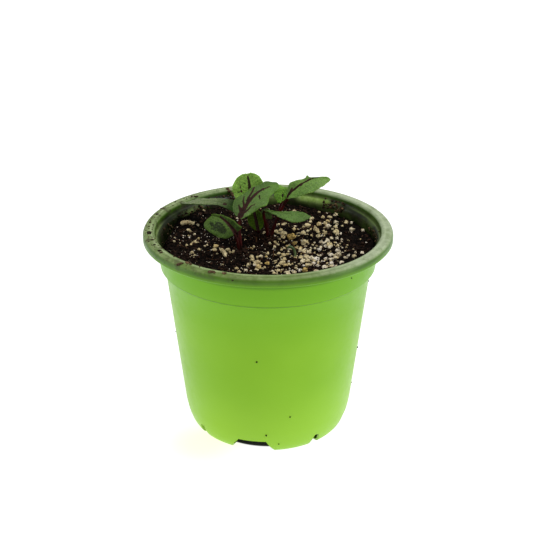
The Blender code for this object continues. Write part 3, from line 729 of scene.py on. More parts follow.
def leaf_finish(name, leaf):
    """A soft green blade with a net of fine veins, maroon marks, a pale margin and a paler back."""
    paint = Paint(name)
    place = paint.place()
    vein = paint.attribute("vein")
    mark = paint.attribute("mark")
    blot = paint.attribute("blot")
    edge = paint.attribute("edge")
    dust = paint.attribute("dust")
    back = paint.attribute("back")
    # The blade's green, with painted shade and light in it for some blades.
    red, green, blue = leaf["green"]
    fine = paint.grain(place, 560.0, 5.0, 0.6)
    broad = paint.grain(place, 120.0, 3.0, 0.5)
    lamina = paint.mix(
        paint.spread(broad, 0.3, 0.7), srgb(red * 0.82, green * 0.86, blue * 0.75),
        srgb(red * 1.16, green * 1.12, blue * 1.15))
    deep = srgb(red * 0.72, green * 0.78, blue * 0.7)
    lamina = paint.mix(paint.spread(fine, 0.4, 0.75, 0.0, 0.55), lamina, deep)
    lamina = paint.mix(paint.math("MULTIPLY", dust, 0.75), lamina, srgb(148, 162, 116))
    net = paint.cells(place, 800.0, "DISTANCE_TO_EDGE")
    pale = srgb(red * 1.25 + 14, green * 1.2 + 8, blue * 1.2 + 10)
    lamina = paint.mix(paint.spread(net, 0.12, 0.0, 0.0, 0.4), lamina, pale)
    # Painted shade: one half of the blade is darkened by its shades.
    lamina = paint.mix(paint.attribute("shade"), lamina, srgb(red * 0.66, green * 0.66, blue * 0.7))
    lamina = paint.mix(paint.math("MULTIPLY", vein, 0.35), lamina, pale)
    # The pale margin is partly paler tissue and partly a painted highlight where the edge curls.
    lamina = paint.mix(paint.math("MULTIPLY", edge, 0.6), lamina, pale)
    lamina = paint.mix(paint.math("MULTIPLY", back, 0.6), lamina, pale)
    rough = paint.math("MULTIPLY", paint.math("SUBTRACT", fine, 0.5), 0.5)
    crisp = paint.math("SUBTRACT", paint.grain(place, 1900.0, 3.0, 0.65), 0.5)
    lamina = paint.mix(paint.spread(crisp, -0.06, 0.14, 0.0, 0.4), lamina, deep)
    mottle = paint.math("MULTIPLY", crisp, 3.2)
    blotted = paint.spread(paint.math("ADD", blot, mottle), 0.16, 0.95, 0.0, 0.88)
    lamina = paint.mix(blotted, lamina, srgb(18, 26, 6))
    edged = paint.math("ADD", paint.math("ADD", mark, rough), paint.math("MULTIPLY", crisp, 0.9))
    lamina = paint.mix(paint.spread(edged, 0.1, 0.45, 0.0, 0.45), lamina, srgb(74, 62, 44))
    marked = paint.spread(edged, 0.34, 0.66, 0.0, 0.95)
    maroon = paint.mix(paint.spread(fine, 0.3, 0.7), srgb(34, 10, 12), srgb(60, 22, 26))
    lamina = paint.mix(marked, lamina, maroon)
    paint.colour(lamina)
    paint.roughness(paint.spread(fine, 0.2, 0.8, 0.42, 0.6))
    relief = paint.math("ADD", paint.math("MULTIPLY", paint.spread(net, 0.0, 0.16), 0.6), fine)
    paint.bump(relief, 0.16 * MM, 0.8)
    shader = paint.shader
    shader.inputs["Subsurface Weight"].default_value = 0.1
    shader.inputs["Subsurface Radius"].default_value = (0.4, 1.0, 0.2)
    shader.inputs["Subsurface Scale"].default_value = 0.0005
    shader.inputs["Specular IOR Level"].default_value = 0.12
    return paint.material


def stalk_finish():
    """Dark red stalks on brown crowns."""
    paint = Paint("dark_red_stalk")
    place = paint.place()
    streaks = paint.grain(paint.stretched(place, (1.0, 1.0, 0.12)), 700.0, 4.0, 0.6)
    fine = paint.grain(place, 600.0, 5.0, 0.7)
    red = paint.mix(paint.spread(streaks, 0.3, 0.7), srgb(24, 2, 1), srgb(70, 10, 7))
    soil = paint.mix(paint.spread(fine, 0.35, 0.7), srgb(10, 6, 4), srgb(40, 26, 18))
    paint.colour(paint.mix(paint.spread(paint.height(place), 0.0905, 0.0935), soil, red))
    paint.roughness(paint.spread(streaks, 0.3, 0.7, 0.38, 0.5))
    paint.bump(paint.math("ADD", streaks, paint.math("MULTIPLY", fine, 0.6)), 0.1 * MM, 0.5)
    paint.shader.inputs["Specular IOR Level"].default_value = 0.08
    return paint.material


def sprout_finish():
    """A dark green arch that pales towards its foot."""
    paint = Paint("seedling_green")
    place = paint.place()
    fine = paint.grain(place, 600.0, 4.0, 0.6)
    dark = paint.mix(paint.spread(fine, 0.3, 0.7), srgb(30, 50, 14), srgb(58, 84, 28))
    light = paint.mix(paint.spread(fine, 0.3, 0.7), srgb(86, 120, 54), srgb(150, 168, 116))
    paint.colour(paint.mix(paint.spread(paint.height(place), 0.0945, 0.0905), dark, light))
    paint.roughness(0.5)
    paint.bump(fine, 0.06 * MM, 0.5)
    return paint.material


# The pot


def arc(centre, radius, start, end, count):
    points = []
    for index in range(count + 1):
        angle = math.radians(start + (end - start) * index / count)
        points.append((centre[0] + radius * math.cos(angle), centre[1] + radius * math.sin(angle)))
    return points


def bottom_corner(inset, count):
    """The rounded corner between the foot and the body, read from the foot upwards."""
    start = Vector((FOOT_RADIUS - inset * 0.4, inset))
    end = Vector((BODY_LOW_RADIUS - inset, BODY_LOW_HEIGHT))
    handle = Vector((BODY_LOW_RADIUS - 1.9 * MM - inset, 0.2 * MM + inset))
    points = []
    for index in range(count + 1):
        t = index / count
        point = start * (1 - t) ** 2 + handle * 2 * t * (1 - t) + end * t * t
        points.append((point.x, point.y))
    return points


def between(first, second, count):
    """Points that split a straight stretch, without its first end."""
    steps = range(1, count + 1)
    return [tuple(Vector(first).lerp(Vector(second), step / count)) for step in steps]


def inner_profile():
    """The inside, from the floor's middle up to the rim's inner edge."""
    floor_top = FLOOR_RISE + WALL
    collar_foot = (COLLAR_BOTTOM_RADIUS - WALL, STEP_HEIGHT + 0.7 * MM)
    collar_head = (COLLAR_TOP_RADIUS - WALL, LEDGE_HEIGHT - 1.4 * MM)
    body_head = (BODY_TOP_RADIUS - WALL, STEP_HEIGHT - 0.5 * MM)
    corner = bottom_corner(WALL, 10)
    return [
        (0.0, floor_top),
        (FLOOR_RADIUS - 0.6 * MM, floor_top),
        (FLOOR_RADIUS + 2.0 * MM, WALL),
        *corner,
        *between(corner[-1], body_head, 4),
        *between(body_head, collar_foot, 2),
        *between(collar_foot, collar_head, 10),
        (FLANGE_INNER_RADIUS - 1.15 * MM, LEDGE_HEIGHT - 0.35 * MM),
        (FLANGE_INNER_RADIUS - 0.75 * MM, LEDGE_HEIGHT - 0.1 * MM),
        (FLANGE_INNER_RADIUS - 0.35 * MM, LEDGE_HEIGHT + 0.1 * MM),
        (FLANGE_INNER_RADIUS, LEDGE_HEIGHT + 0.7 * MM),
    ]


def outer_profile():
    """The outside, from the rim's inner edge over the lip and down to the floor's middle."""
    top = POT_HEIGHT
    lip_inside = RIM_RADIUS - WALL
    collar_head = (COLLAR_TOP_RADIUS, LEDGE_HEIGHT - 1.8 * MM)
    collar_foot = (COLLAR_BOTTOM_RADIUS, STEP_HEIGHT + 1.3 * MM)
    body_head = (BODY_TOP_RADIUS, STEP_HEIGHT - 1.0 * MM)
    corner = list(reversed(bottom_corner(0.0, 12)))
    inner_round = (FLANGE_INNER_RADIUS + RIM_INNER_ROUND, top - RIM_INNER_ROUND)
    outer_round = (RIM_RADIUS - RIM_OUTER_ROUND, top - RIM_OUTER_ROUND)
    return [
        *arc(inner_round, RIM_INNER_ROUND, 180, 90, 8),
        *arc(outer_round, RIM_OUTER_ROUND, 90, 0, 10),
        (RIM_RADIUS, LIP_BOTTOM + 0.3 * MM),
        (RIM_RADIUS - 0.25 * MM, LIP_BOTTOM),
        (lip_inside + 0.2 * MM, LIP_BOTTOM),
        (lip_inside, LIP_BOTTOM + 0.25 * MM),
        (lip_inside - 0.1 * MM, top - 1.9 * MM),
        (lip_inside - 1.5 * MM, top - WALL),
        (FLANGE_INNER_RADIUS + 1.9 * MM, top - WALL),
        (FLANGE_INNER_RADIUS + 0.9 * MM, top - 2.0 * MM),
        (FLANGE_INNER_RADIUS + 0.1 * MM, LEDGE_HEIGHT - 0.4 * MM),
        collar_head,
        *between(collar_head, collar_foot, 3),
        (COLLAR_BOTTOM_RADIUS - 0.12 * MM, STEP_HEIGHT + 0.7 * MM),
        (COLLAR_BOTTOM_RADIUS - 0.6 * MM, STEP_HEIGHT + 0.2 * MM),
        (BODY_TOP_RADIUS + 0.35 * MM, STEP_HEIGHT - 0.35 * MM),
        body_head,
        *between(body_head, corner[0], 6),
        *corner[1:],
        (FLOOR_RADIUS + 2.6 * MM, 0.0),
        (FLOOR_RADIUS, FLOOR_RISE),
        (0.0, FLOOR_RISE),
    ]


def turned_form(profile, steps):
    """A closed body spun round Z from a profile that starts and ends on the axis."""
    form = bmesh.new()
    points = [form.verts.new((radius, 0.0, height)) for radius, height in profile]
    edges = [form.edges.new(pair) for pair in zip(points, points[1:])]
    bmesh.ops.spin(
        form, geom=points + edges, cent=(0, 0, 0), axis=(0, 0, 1), angle=math.tau,
        steps=steps, use_merge=True, use_duplicate=False)
    bmesh.ops.remove_doubles(form, verts=form.verts, dist=0.002 * MM)
    bmesh.ops.recalc_face_normals(form, faces=form.faces)
    return form


def notch_cutter(angle, widths, top):
    outer_radius = FOOT_RADIUS + 9.0 * MM
    form = bmesh.new()
    bmesh.ops.create_cube(form, size=2.0)
    for vertex in form.verts:
        radius = outer_radius if vertex.co.x > 0 else NOTCH_INNER_RADIUS
        height = top if vertex.co.z > 0 else -1.0 * MM
        opening = widths[0] if vertex.co.z > 0 else widths[1]
        turn = angle + math.copysign(opening / 2, vertex.co.y)
        vertex.co = round_place(turn, radius, height)
    bmesh.ops.bevel(
        form, geom=form.edges, offset=0.35 * MM, affect="EDGES", segments=2, profile=0.5, material=-1)
    return mesh_from("notch", form)


def rim_height(radius):
    """The height of the rim's top at a distance from the axis."""
    inner = FLANGE_INNER_RADIUS + RIM_INNER_ROUND
    outer = RIM_RADIUS - RIM_OUTER_ROUND
    if radius < inner:
        drop = RIM_INNER_ROUND - math.sqrt(max(RIM_INNER_ROUND ** 2 - (inner - radius) ** 2, 0.0))
    elif radius > outer:
        drop = RIM_OUTER_ROUND - math.sqrt(max(RIM_OUTER_ROUND ** 2 - (radius - outer) ** 2, 0.0))
    else:
        drop = 0.0
    return POT_HEIGHT - drop


def inner_wall_radius(z):
    """The inside of the wall at a height."""
    if z > LEDGE_HEIGHT:
        return FLANGE_INNER_RADIUS
    share = (z - STEP_HEIGHT) / (LEDGE_HEIGHT - STEP_HEIGHT)
    return COLLAR_BOTTOM_RADIUS + (COLLAR_TOP_RADIUS - COLLAR_BOTTOM_RADIUS) * share - WALL


def outer_wall_radius(z):
    """The outside of the wall below the rim at a height."""
    if z > STEP_HEIGHT:
        share = (z - STEP_HEIGHT) / (LEDGE_HEIGHT - STEP_HEIGHT)
        return COLLAR_BOTTOM_RADIUS + (COLLAR_TOP_RADIUS - COLLAR_BOTTOM_RADIUS) * share
    if z > BODY_LOW_HEIGHT:
        share = (z - BODY_LOW_HEIGHT) / (STEP_HEIGHT - BODY_LOW_HEIGHT)
        return BODY_LOW_RADIUS + (BODY_TOP_RADIUS - BODY_LOW_RADIUS) * share
    corner = bottom_corner(0.0, 24)
    return next(radius for radius, height in corner if height >= z)


def pot_stains(turn, radius, z):
    """How soiled the plastic is: the rim's left half most, and the inside near the mix."""
    leftness = max(0.0, math.cos(math.radians(turn - 178.0)))
    if z > LEDGE_HEIGHT + 0.3 * MM:
        return min(1.0, 0.1 + 0.75 * leftness ** 1.4) * soft_step(LIP_BOTTOM, POT_HEIGHT - 1.4 * MM, z)
    if radius < inner_wall_radius(z) + WALL * 0.5 and z > STEP_HEIGHT:
        back_left = soft_step(88.0, 100.0, turn) * (1 - soft_step(128.0, 150.0, turn))
        right = soft_step(36.0, 46.0, turn) * (1 - soft_step(54.0, 60.0, turn))
        return min(1.0, 0.35 + 0.65 * back_left + 0.6 * right)
    return 0.0


def ledge_highlight_share(turn, z):
    """Where a painted highlight lightens the ledge: at the back right, and thinly on the left."""
    band = soft_step(LEDGE_HEIGHT - 3.2 * MM, LEDGE_HEIGHT - 1.6 * MM, z)
    right = soft_step(52.0, 55.0, turn) * (1 - soft_step(70.0, 76.0, turn)) * band
    wall = soft_step(SOIL_HEIGHT + 0.6 * MM, SOIL_HEIGHT + 1.6 * MM, z) * (1 - soft_step(LEDGE_HEIGHT - 1.6 * MM, LEDGE_HEIGHT, z))
    left = soft_step(128.0, 132.0, turn) * (1 - soft_step(143.0, 148.0, turn)) * 0.4
    back = soft_step(80.0, 84.0, turn) * (1 - soft_step(92.0, 97.0, turn)) * 0.5
    right = max(right, wall * max(left, back))
    thin = soft_step(LEDGE_HEIGHT - 0.3 * MM, LEDGE_HEIGHT + 0.1 * MM, z) * 0.6
    side = max(soft_step(160.0, 175.0, abs(turn)), (1 - soft_step(30.0, 44.0, abs(turn))) * 0.7)
    return max(right, side * thin) * (1 - soft_step(LEDGE_HEIGHT + 0.4 * MM, LEDGE_HEIGHT + 1.0 * MM, z))


def paint_pot(mesh):
    """Says where the pot is rim, inside with painted shade, lit by a painted highlight on the ledge,
    darkened by a painted shadow at the step, or soiled, on the mesh's points.
    """
    layers = {"step_shadow": [], "face": [], "top": [], "inside": [], "lit_ledge": [], "dirt": [], "pale_rim_side": []}
    for vertex in mesh.vertices:
        x, y, z = vertex.co
        radius = math.hypot(x, y)
        turn = math.degrees(math.atan2(y, x))
        inner = z > STEP_HEIGHT - 8.0 * MM and radius < (
            FLANGE_INNER_RADIUS + 0.05 * MM if z > LEDGE_HEIGHT - 1.6 * MM
            else outer_wall_radius(z) - WALL * 0.5)
        # Painted shade: the inside below the ledge and the underside near the floor are marked to be darkened.
        inside = float(inner) * (1 - 0.8 * soft_step(LEDGE_HEIGHT + 0.6 * MM, LEDGE_HEIGHT + 2.4 * MM, z))
        under = (1 - soft_step(30.0, 32.0, radius / MM)) * (1 - soft_step(3.0, 5.0, z / MM))
        layers["inside"].append(max(inside, under))
        # Painted shadow in a thin band at the step, strongest at the front left.
        step_shadow = math.exp(-((z - STEP_HEIGHT - 0.3 * MM) / (0.5 * MM)) ** 2) if not inner else 0.0
        layers["step_shadow"].append(0.75 * step_shadow * soft_step(18.0, 2.0, x / MM) * soft_step(4.0, -8.0, y / MM))
        layers["face"].append(soft_step(LIP_BOTTOM + 0.15 * MM, LIP_BOTTOM + 0.5 * MM, z))
        layers["top"].append(soft_step(POT_HEIGHT - 1.5 * MM, POT_HEIGHT - 0.1 * MM, z))
        layers["lit_ledge"].append(ledge_highlight_share(turn, z) * float(inner))
        layers["dirt"].append(pot_stains(turn, radius, z))
        # The rim's top is paler towards the right, and a little towards the back and the far left.
        pale_rim_side = 0.7 * soft_step(8.0, 50.0, x / MM) + 0.12 * soft_step(30.0, 54.0, -x / MM)
        layers["pale_rim_side"].append(pale_rim_side + 0.25 * soft_step(20.0, 48.0, y / MM))
    for name, values in layers.items():
        point_attribute(mesh, name, values)


def make_pot():
    form = turned_form(inner_profile() + outer_profile(), POT_STEPS)
    pot = loose_object("turned_pot", mesh_from("turned_pot", form))
    cutters = bpy.data.collections.new("notch_cutters")
    bpy.context.scene.collection.children.link(cutters)
    for index in range(NOTCHES):
        turn = FIRST_NOTCH_ANGLE + 360.0 * index / NOTCHES
        if index % 2:
            form = notch_cutter(turn + NARROW_NOTCH_SHIFT, NARROW_NOTCH, NARROW_NOTCH_HEIGHT)
        else:
            form = notch_cutter(turn, WIDE_NOTCH, NOTCH_HEIGHT)
        cutter = bpy.data.objects.new("notch", form)
        cutters.objects.link(cutter)
    cut = pot.modifiers.new("Drain notches", "BOOLEAN")
    cut.operation = "DIFFERENCE"
    cut.operand_type = "COLLECTION"
    cut.collection = cutters
    cut.solver = "EXACT"
    mesh = finished_mesh(pot)
    for cutter in list(cutters.objects):
        bpy.data.objects.remove(cutter, do_unlink=True)
    bpy.data.collections.remove(cutters)
    smooth(mesh, 32.0)
    paint_pot(mesh)
    add_piece("moulded_pot", mesh, pot_finish(), "pot_plastic", "pot")


# The potting mix


def soil_height(x, y):
    """The mix's broad surface, as in the frame: nearly level, with lumps and a gap at the left wall."""
    distance = math.hypot(x, y) / COLLAR_BOTTOM_RADIUS
    mound = SOIL_MOUND * (1 - distance * distance)
    back_left = max(0.0, (y - x) / math.sqrt(2)) / COLLAR_BOTTOM_RADIUS
    turn = math.degrees(math.atan2(y, x)) % 360.0
    beside_gap = soft_step(150.0, 168.0, turn) * (1 - soft_step(205.0, 225.0, turn))
    gap = SOIL_GAP_DEPTH * beside_gap * soft_step(0.925, 0.975, distance)
    place = Vector((x, y, 0.0))
    lumps = noise.noise(place * 130) * SOIL_LUMP + noise.noise(place * 310) * SOIL_LUMP * 0.5
    return SOIL_HEIGHT + mound + SOIL_BACK_RISE * back_left * back_left - gap + lumps


def nearest_crown(x, y):
    return min(math.hypot(x - crown_x, y - crown_y) for crown_x, crown_y in CROWNS.values())


def soil_surface(x, y):
    """The broad surface with crumbs and clods, heaped a little round the crowns."""
    place = Vector((x, y, 0.0))
    clods = abs(noise.noise(place * 420)) * 1.0 * MM
    crumbs = noise.noise(place * 900) * 0.55 * MM + noise.noise(place * 1900) * 0.28 * MM
    heap = 1.1 * MM * math.exp(-(nearest_crown(x, y) / (3.4 * MM)) ** 2)
    return soil_height(x, y) - 0.6 * MM + clods + crumbs + heap


def make_soil():
    top_radius = SOIL_RADIUS - 0.15 * MM
    top = [(top_radius * index / SOIL_RINGS, SOIL_HEIGHT) for index in range(SOIL_RINGS + 1)]
    low = 5.0 * MM
    profile = [
        *top,
        (top_radius - 0.1 * MM, SOIL_HEIGHT - 7.0 * MM),
        (BODY_TOP_RADIUS - WALL - 0.8 * MM, STEP_HEIGHT - 3.0 * MM),
        (BODY_LOW_RADIUS - WALL - 0.8 * MM, BODY_LOW_HEIGHT + 2.0 * MM),
        (FLOOR_RADIUS + 2.0 * MM, low),
        (0.0, low),
    ]
    form = turned_form(profile, SOIL_STEPS)
    for vertex in form.verts:
        x, y, z = vertex.co
        if abs(z - SOIL_HEIGHT) < 0.01 * MM:
            vertex.co.z = soil_surface(x, y)
    mesh = mesh_from("mix", form)
    # How far each point lies above the broad surface, for the painted shade in the hollows.
    rises = []
    for vertex in mesh.vertices:
        x, y, z = vertex.co
        rises.append((z - soil_height(x, y)) / (1.6 * MM) + 0.6 if z > SOIL_HEIGHT - 6.0 * MM else 0.0)
    point_attribute(mesh, "high", rises)
    smooth(mesh)
    add_piece("potting_mix", mesh, mix_finish(), "potting_mix", "soil")


def lump_shapes(draw, count, subdivisions, roughness, pits=0, pit_depth=0.4):
    """A few rough pebbles of about unit size; a pit is pressed in from one side."""
    shapes = []
    for _ in range(count):
        form = bmesh.new()
        bmesh.ops.create_icosphere(form, subdivisions=subdivisions, radius=1.0)
        shift = Vector((draw.uniform(0, 50), draw.uniform(0, 50), draw.uniform(0, 50)))
        hollows = [Vector((draw.gauss(0, 1), draw.gauss(0, 1), draw.gauss(0.4, 1))) for _ in range(pits)]
        for vertex in form.verts:
            way = vertex.co.normalized()
            swell = noise.noise(way * 1.3 + shift) * 0.9 + noise.noise(way * 3.1 + shift) * 0.5
            size = 1.0 + roughness * swell
            for hollow in hollows:
                size -= pit_depth * soft_step(0.72, 0.97, way.dot(hollow.normalized()))
            vertex.co = way * size
        shapes.append(mesh_from("lump", form))
    return shapes


def hollow_shapes(draw, count):
    """Rough pebbles with one deep hole on top."""
    shapes = []
    for shape in lump_shapes(draw, count, 3, 0.3):
        for vertex in shape.vertices:
            way = vertex.co.normalized()
            vertex.co *= 1.0 - 0.75 * soft_step(0.74, 0.93, way.dot(Vector((0.0, -0.35, 0.94))))
        shapes.append(shape)
    return shapes


def scatter(form, shape, matrix, tone):
    """Adds a copy of a shape to a bmesh, with its tone on its points."""
    copy = shape.copy()
    copy.transform(matrix)
    point_attribute(copy, "tone", [tone] * len(copy.vertices))
    form.from_mesh(copy)
    bpy.data.meshes.remove(copy)


def placed(place, size, draw, lean=0.6, turn=math.pi):
    """A matrix that puts a unit shape at a place, turned at random and stretched to a size."""
    turned = Matrix.Rotation(draw.uniform(-turn, turn), 4, "Z")
    leaned = Matrix.Rotation(draw.uniform(-lean, lean), 4, "X")
    return Matrix.Translation(place) @ turned @ leaned @ Matrix.Diagonal((*size, 1.0))


def pale_share(x, y):
    """How thickly the small pale grains lie at a place on the surface, from 0 to 1."""
    share = 0.03
    for drift_x, drift_y, reach, weight in DRIFTS:
        away = math.hypot(x - drift_x * MM, y - drift_y * MM) / (reach * MM)
        share = max(share, weight * (1 - soft_step(0.35, 1.0, away)))
    return share * (1 - soft_step(43 * MM, 47.5 * MM, math.hypot(x, y)))


def add_grain(form, shape, x, y, width, tone, draw, turn=math.pi):
    half = width / 2
    stretch = (half * draw.uniform(0.95, 1.15), half * draw.uniform(0.85, 1.05), half * draw.uniform(0.75, 0.95))
    place = Vector((x, y, soil_surface(x, y) + half * draw.uniform(0.25, 0.5)))
    scatter(form, shape, placed(place, stretch, draw, 0.5, turn), tone)


def make_grains():
    """Pale grains: the larger ones at their own places, and small ones gathered in drifts."""
    draw = random.Random(23)
    large = lump_shapes(draw, 16, 3, 0.55, pits=3, pit_depth=0.4)
    small = lump_shapes(draw, 9, 2, 0.55)
    tiny = lump_shapes(draw, 6, 1, 0.5)
    hollow = hollow_shapes(draw, 4)
    form = bmesh.new()
    for x, y, width in PALE_GRAINS:
        warm = 0.56 - 0.26 * soft_step(12.0, 30.0, x - y * 0.5)
        tone = min(0.75, max(0.0, draw.gauss(warm, 0.13)))
        add_grain(form, draw.choice(large), x * MM, y * MM, width * 0.92 * MM, tone, draw)
    for x, y, width in GOLDEN_GRAINS:
        add_grain(form, draw.choice(large), x * MM, y * MM, width * MM, 0.9, draw)
    for x, y, width in HOLLOW_GRAINS:
        add_grain(form, draw.choice(hollow), x * MM, y * MM, width * MM, 0.55, draw, 0.4)
    count = 0
    while count < SMALL_GRAINS:
        x = draw.uniform(-47, 47) * MM
        y = draw.uniform(-47, 47) * MM
        if draw.random() > pale_share(x, y) or nearest_crown(x, y) < 3.2 * MM:
            continue
        width = (0.45 + 0.95 * draw.random() ** 1.8) * MM
        add_grain(form, draw.choice(small), x, y, width, min(0.8, abs(draw.gauss(0.42, 0.25))), draw)
        count += 1
    for _ in range(SPECKS):
        turn = draw.gauss(185.0, 75.0)
        x, y, _ = round_place(turn, 46 * MM * draw.random() ** 0.6, 0.0)
        width = (0.3 + 0.35 * draw.random() ** 2) * MM
        add_grain(form, draw.choice(tiny), x, y, width, draw.uniform(0.0, 0.45), draw)
    mesh = mesh_from("grains", form)
    smooth(mesh)
    add_piece("pale_grains", mesh, grain_finish(), "potting_mix")


def make_crumbs():
    """Loose crumbs of peat all over the mix, over the crowns and along the wall."""
    draw = random.Random(5)
    shapes = lump_shapes(draw, 6, 1, 0.55)
    form = bmesh.new()
    for _ in range(CRUMBS):
        radius = 47.6 * MM * math.sqrt(draw.random())
        turn = draw.uniform(0, math.tau)
        x = radius * math.cos(turn)
        y = radius * math.sin(turn)
        size = (0.18 + 0.6 * draw.random() ** 2.6) * MM
        stretch = (size * draw.uniform(0.8, 1.9), size * draw.uniform(0.6, 1.0), size * draw.uniform(0.5, 0.9))
        place = Vector((x, y, soil_surface(x, y) + stretch[2] * 0.5))
        scatter(form, draw.choice(shapes), placed(place, stretch, draw), draw.random() ** 2.2)
    for crown_x, crown_y in CROWNS.values():
        for _ in range(46):
            turn = draw.uniform(0, math.tau)
            away = CROWN_RADIUS * draw.uniform(0.5, 1.5)
            x = crown_x + away * math.cos(turn)
            y = crown_y + away * math.sin(turn)
            size = draw.uniform(0.3, 0.75) * MM
            rise = CROWN_TOP * (1 - soft_step(0.6, 1.5, away / CROWN_RADIUS))
            place = Vector((x, y, soil_height(x, y) + rise))
            scatter(form, draw.choice(shapes), placed(place, (size * 1.3, size, size * 0.8), draw), draw.random() ** 3)
    mesh = mesh_from("crumbs", form)
    smooth(mesh)
    add_piece("peat_crumbs", mesh, crumb_finish("peat_crumbs", (38, 25, 18), (84, 57, 42)), "potting_mix")


def make_stuck_crumbs():
    """Mix that stuck to the rim, the ledge and the wall, and a bit of bark at the back."""
    draw = random.Random(11)
    shapes = lump_shapes(draw, 6, 2, 0.5)
    form = bmesh.new()
    for turn, radius, width in RIM_CRUMBS:
        half = width * MM / 2
        place = round_place(turn, radius * MM, rim_height(radius * MM) + half * 0.12)
        size = (half * draw.uniform(0.9, 1.3), half * draw.uniform(0.7, 1.0), half * 0.45)
        brown = 0.5 if -135.0 < turn < -105.0 else 0.0
        scatter(form, draw.choice(shapes), placed(place, size, draw, 0.1), brown + draw.random() * 0.5)
    for _ in range(90):
        turn = draw.gauss(180.0, 34.0)
        radius = draw.uniform(52.2, 56.0) * MM
        half = draw.uniform(0.1, 0.3) * MM
        place = round_place(turn, radius, rim_height(radius) + half * 0.3)
        scatter(form, draw.choice(shapes), placed(place, (half * 1.3, half, half * 0.6), draw, 0.2), draw.random())
    for turn, height in WALL_SPECKS:
        half = draw.uniform(0.25, 0.45) * MM
        place = round_place(turn, outer_wall_radius(height * MM) + half * 0.2, height * MM)
        scatter(form, draw.choice(shapes), placed(place, (half, half, half), draw), 0.0)
    for start, end, low, high, count in WALL_CRUMBS:
        for _ in range(count):
            height = draw.uniform(low, high) * MM
            half = draw.uniform(0.15, 0.65) * MM
            radius = inner_wall_radius(height) - half * 0.3
            place = round_place(draw.uniform(start, end), radius, height)
            tone = draw.random() if start < 60.0 else draw.random() ** 2
            scatter(form, draw.choice(shapes), placed(place, (half, half, half * 0.8), draw), tone)
    for turn, radius, height, width in BARK:
        half = width * MM / 2
        place = round_place(turn, radius * MM, height * MM)
        scatter(form, draw.choice(shapes), placed(place, (half * 1.2, half * 0.7, half * 1.2), draw), 0.7)
    mesh = mesh_from("stuck_crumbs", form)
    smooth(mesh)
    add_piece("stuck_crumbs", mesh, crumb_finish("stuck_mix", (46, 34, 24), (138, 112, 80)), "potting_mix")


def make_fibres(finish):
    """Fine roots and bark fibres that lie on the mix, and the dark twigs."""
    draw = random.Random(31)
    form = bmesh.new()
    for route, width in TWIGS:
        points = []
        for x, y, rise in route:
            points.append(Vector((x * MM, y * MM, soil_surface(x * MM, y * MM) + rise * MM)))
        curve, radii = smoothed(points, [width * MM / 2] * len(points), 12)
        add_rod(form, curve, radii, 8)
    for _ in range(46):
        turn = draw.uniform(0, math.tau)
        radius = 44 * MM * math.sqrt(draw.random())
        way = draw.uniform(0, math.tau)
        bend = draw.uniform(-0.5, 0.5)
        length = draw.uniform(0.8, 2.2) * MM
        x = radius * math.cos(turn)
        y = radius * math.sin(turn)
        points = []
        for _ in range(4):
            points.append(Vector((x, y, soil_surface(x, y) + draw.uniform(0.3, 0.8) * MM)))
            x += length * math.cos(way)
            y += length * math.sin(way)
            way += bend
        curve, radii = smoothed(points, [draw.uniform(0.06, 0.13) * MM] * 4, 12)
        add_rod(form, curve, radii, 6)
    mesh = mesh_from("fibres", form)
    smooth(mesh, 60.0)
    point_attribute(mesh, "tone", [0.5] * len(mesh.vertices))
    add_piece("bark_fibres", mesh, finish, "potting_mix")


def make_chips():
    """Two long pale chips on the left, rough all round."""
    form = bmesh.new()
    for route, width in CHIPS:
        points = []
        for x, y in route:
            points.append(Vector((x * MM, y * MM, soil_height(x * MM, y * MM) + width * 0.42 * MM)))
        half = width * MM / 2
        ends = [half * 0.55] + [half] * (len(points) - 2) + [half * 0.6]
        curve, radii = smoothed(points, ends, 30)
        add_rod(form, curve, radii, 16)
    for vertex in form.verts:
        shift = noise.noise(vertex.co * 900) * 0.45 + noise.noise(vertex.co * 2100) * 0.2
        vertex.co += Vector((shift * 0.4, shift, shift)) * MM
    mesh = mesh_from("chips", form)
    smooth(mesh)
    point_attribute(mesh, "tone", [0.45] * len(mesh.vertices))
    add_piece("pale_chips", mesh, grain_finish(), "potting_mix")


# The plants


def bezier(points, t):
    first, control, last = points
    return first * (1 - t) ** 2 + control * 2 * t * (1 - t) + last * t * t


def bezier_direction(points, t):
    first, control, last = points
    return ((control - first) * (1 - t) + (last - control) * t).normalized()


def listed_width(widths, t):
    """A width in millimetres between the ones listed for WIDTH_PLACES, on a smooth curve."""
    last = len(WIDTH_PLACES) - 1
    index = next(step for step in range(last) if t <= WIDTH_PLACES[step + 1])
    gap = WIDTH_PLACES[index + 1] - WIDTH_PLACES[index]
    share = (t - WIDTH_PLACES[index]) / gap
    slopes = []
    for step in (index, index + 1):
        low = max(step - 1, 0)
        high = min(step + 1, last)
        slopes.append((widths[high] - widths[low]) / (WIDTH_PLACES[high] - WIDTH_PLACES[low]) * gap)
    cube = share ** 3
    square = share ** 2
    return (
        widths[index] * (2 * cube - 3 * square + 1) + slopes[0] * (cube - 2 * square + share)
        + widths[index + 1] * (3 * square - 2 * cube) + slopes[1] * (cube - square))


def half_width(leaf, side, t):
    """The blade's width to one side of its midrib: the left is 0 and the right is 1."""
    teeth = leaf.get("teeth", 0.1) * MM * abs(math.sin(math.pi * 17 * t))
    if "widths" in leaf:
        half = listed_width(leaf["widths"][side], min(max(t, 0.0), 1.0)) * MM + teeth * side
        return half + tooth_width(leaf, side, t)
    greatest, widest, base_power, tip_power = leaf["sides"][side]
    share, power = (t / widest, base_power) if t < widest else ((1 - t) / (1 - widest), tip_power)
    return greatest * MM * max(math.sin(max(share, 0.0) * math.pi / 2) ** power, NARROWEST)


def tooth_width(leaf, side, t):
    tooth_side, tooth_t, tooth_reach, tooth_size = leaf.get("tooth", (2, 0, 1, 0))
    if side != tooth_side:
        return 0.0
    return tooth_size * MM * math.exp(-((t - tooth_t) / tooth_reach) ** 2)


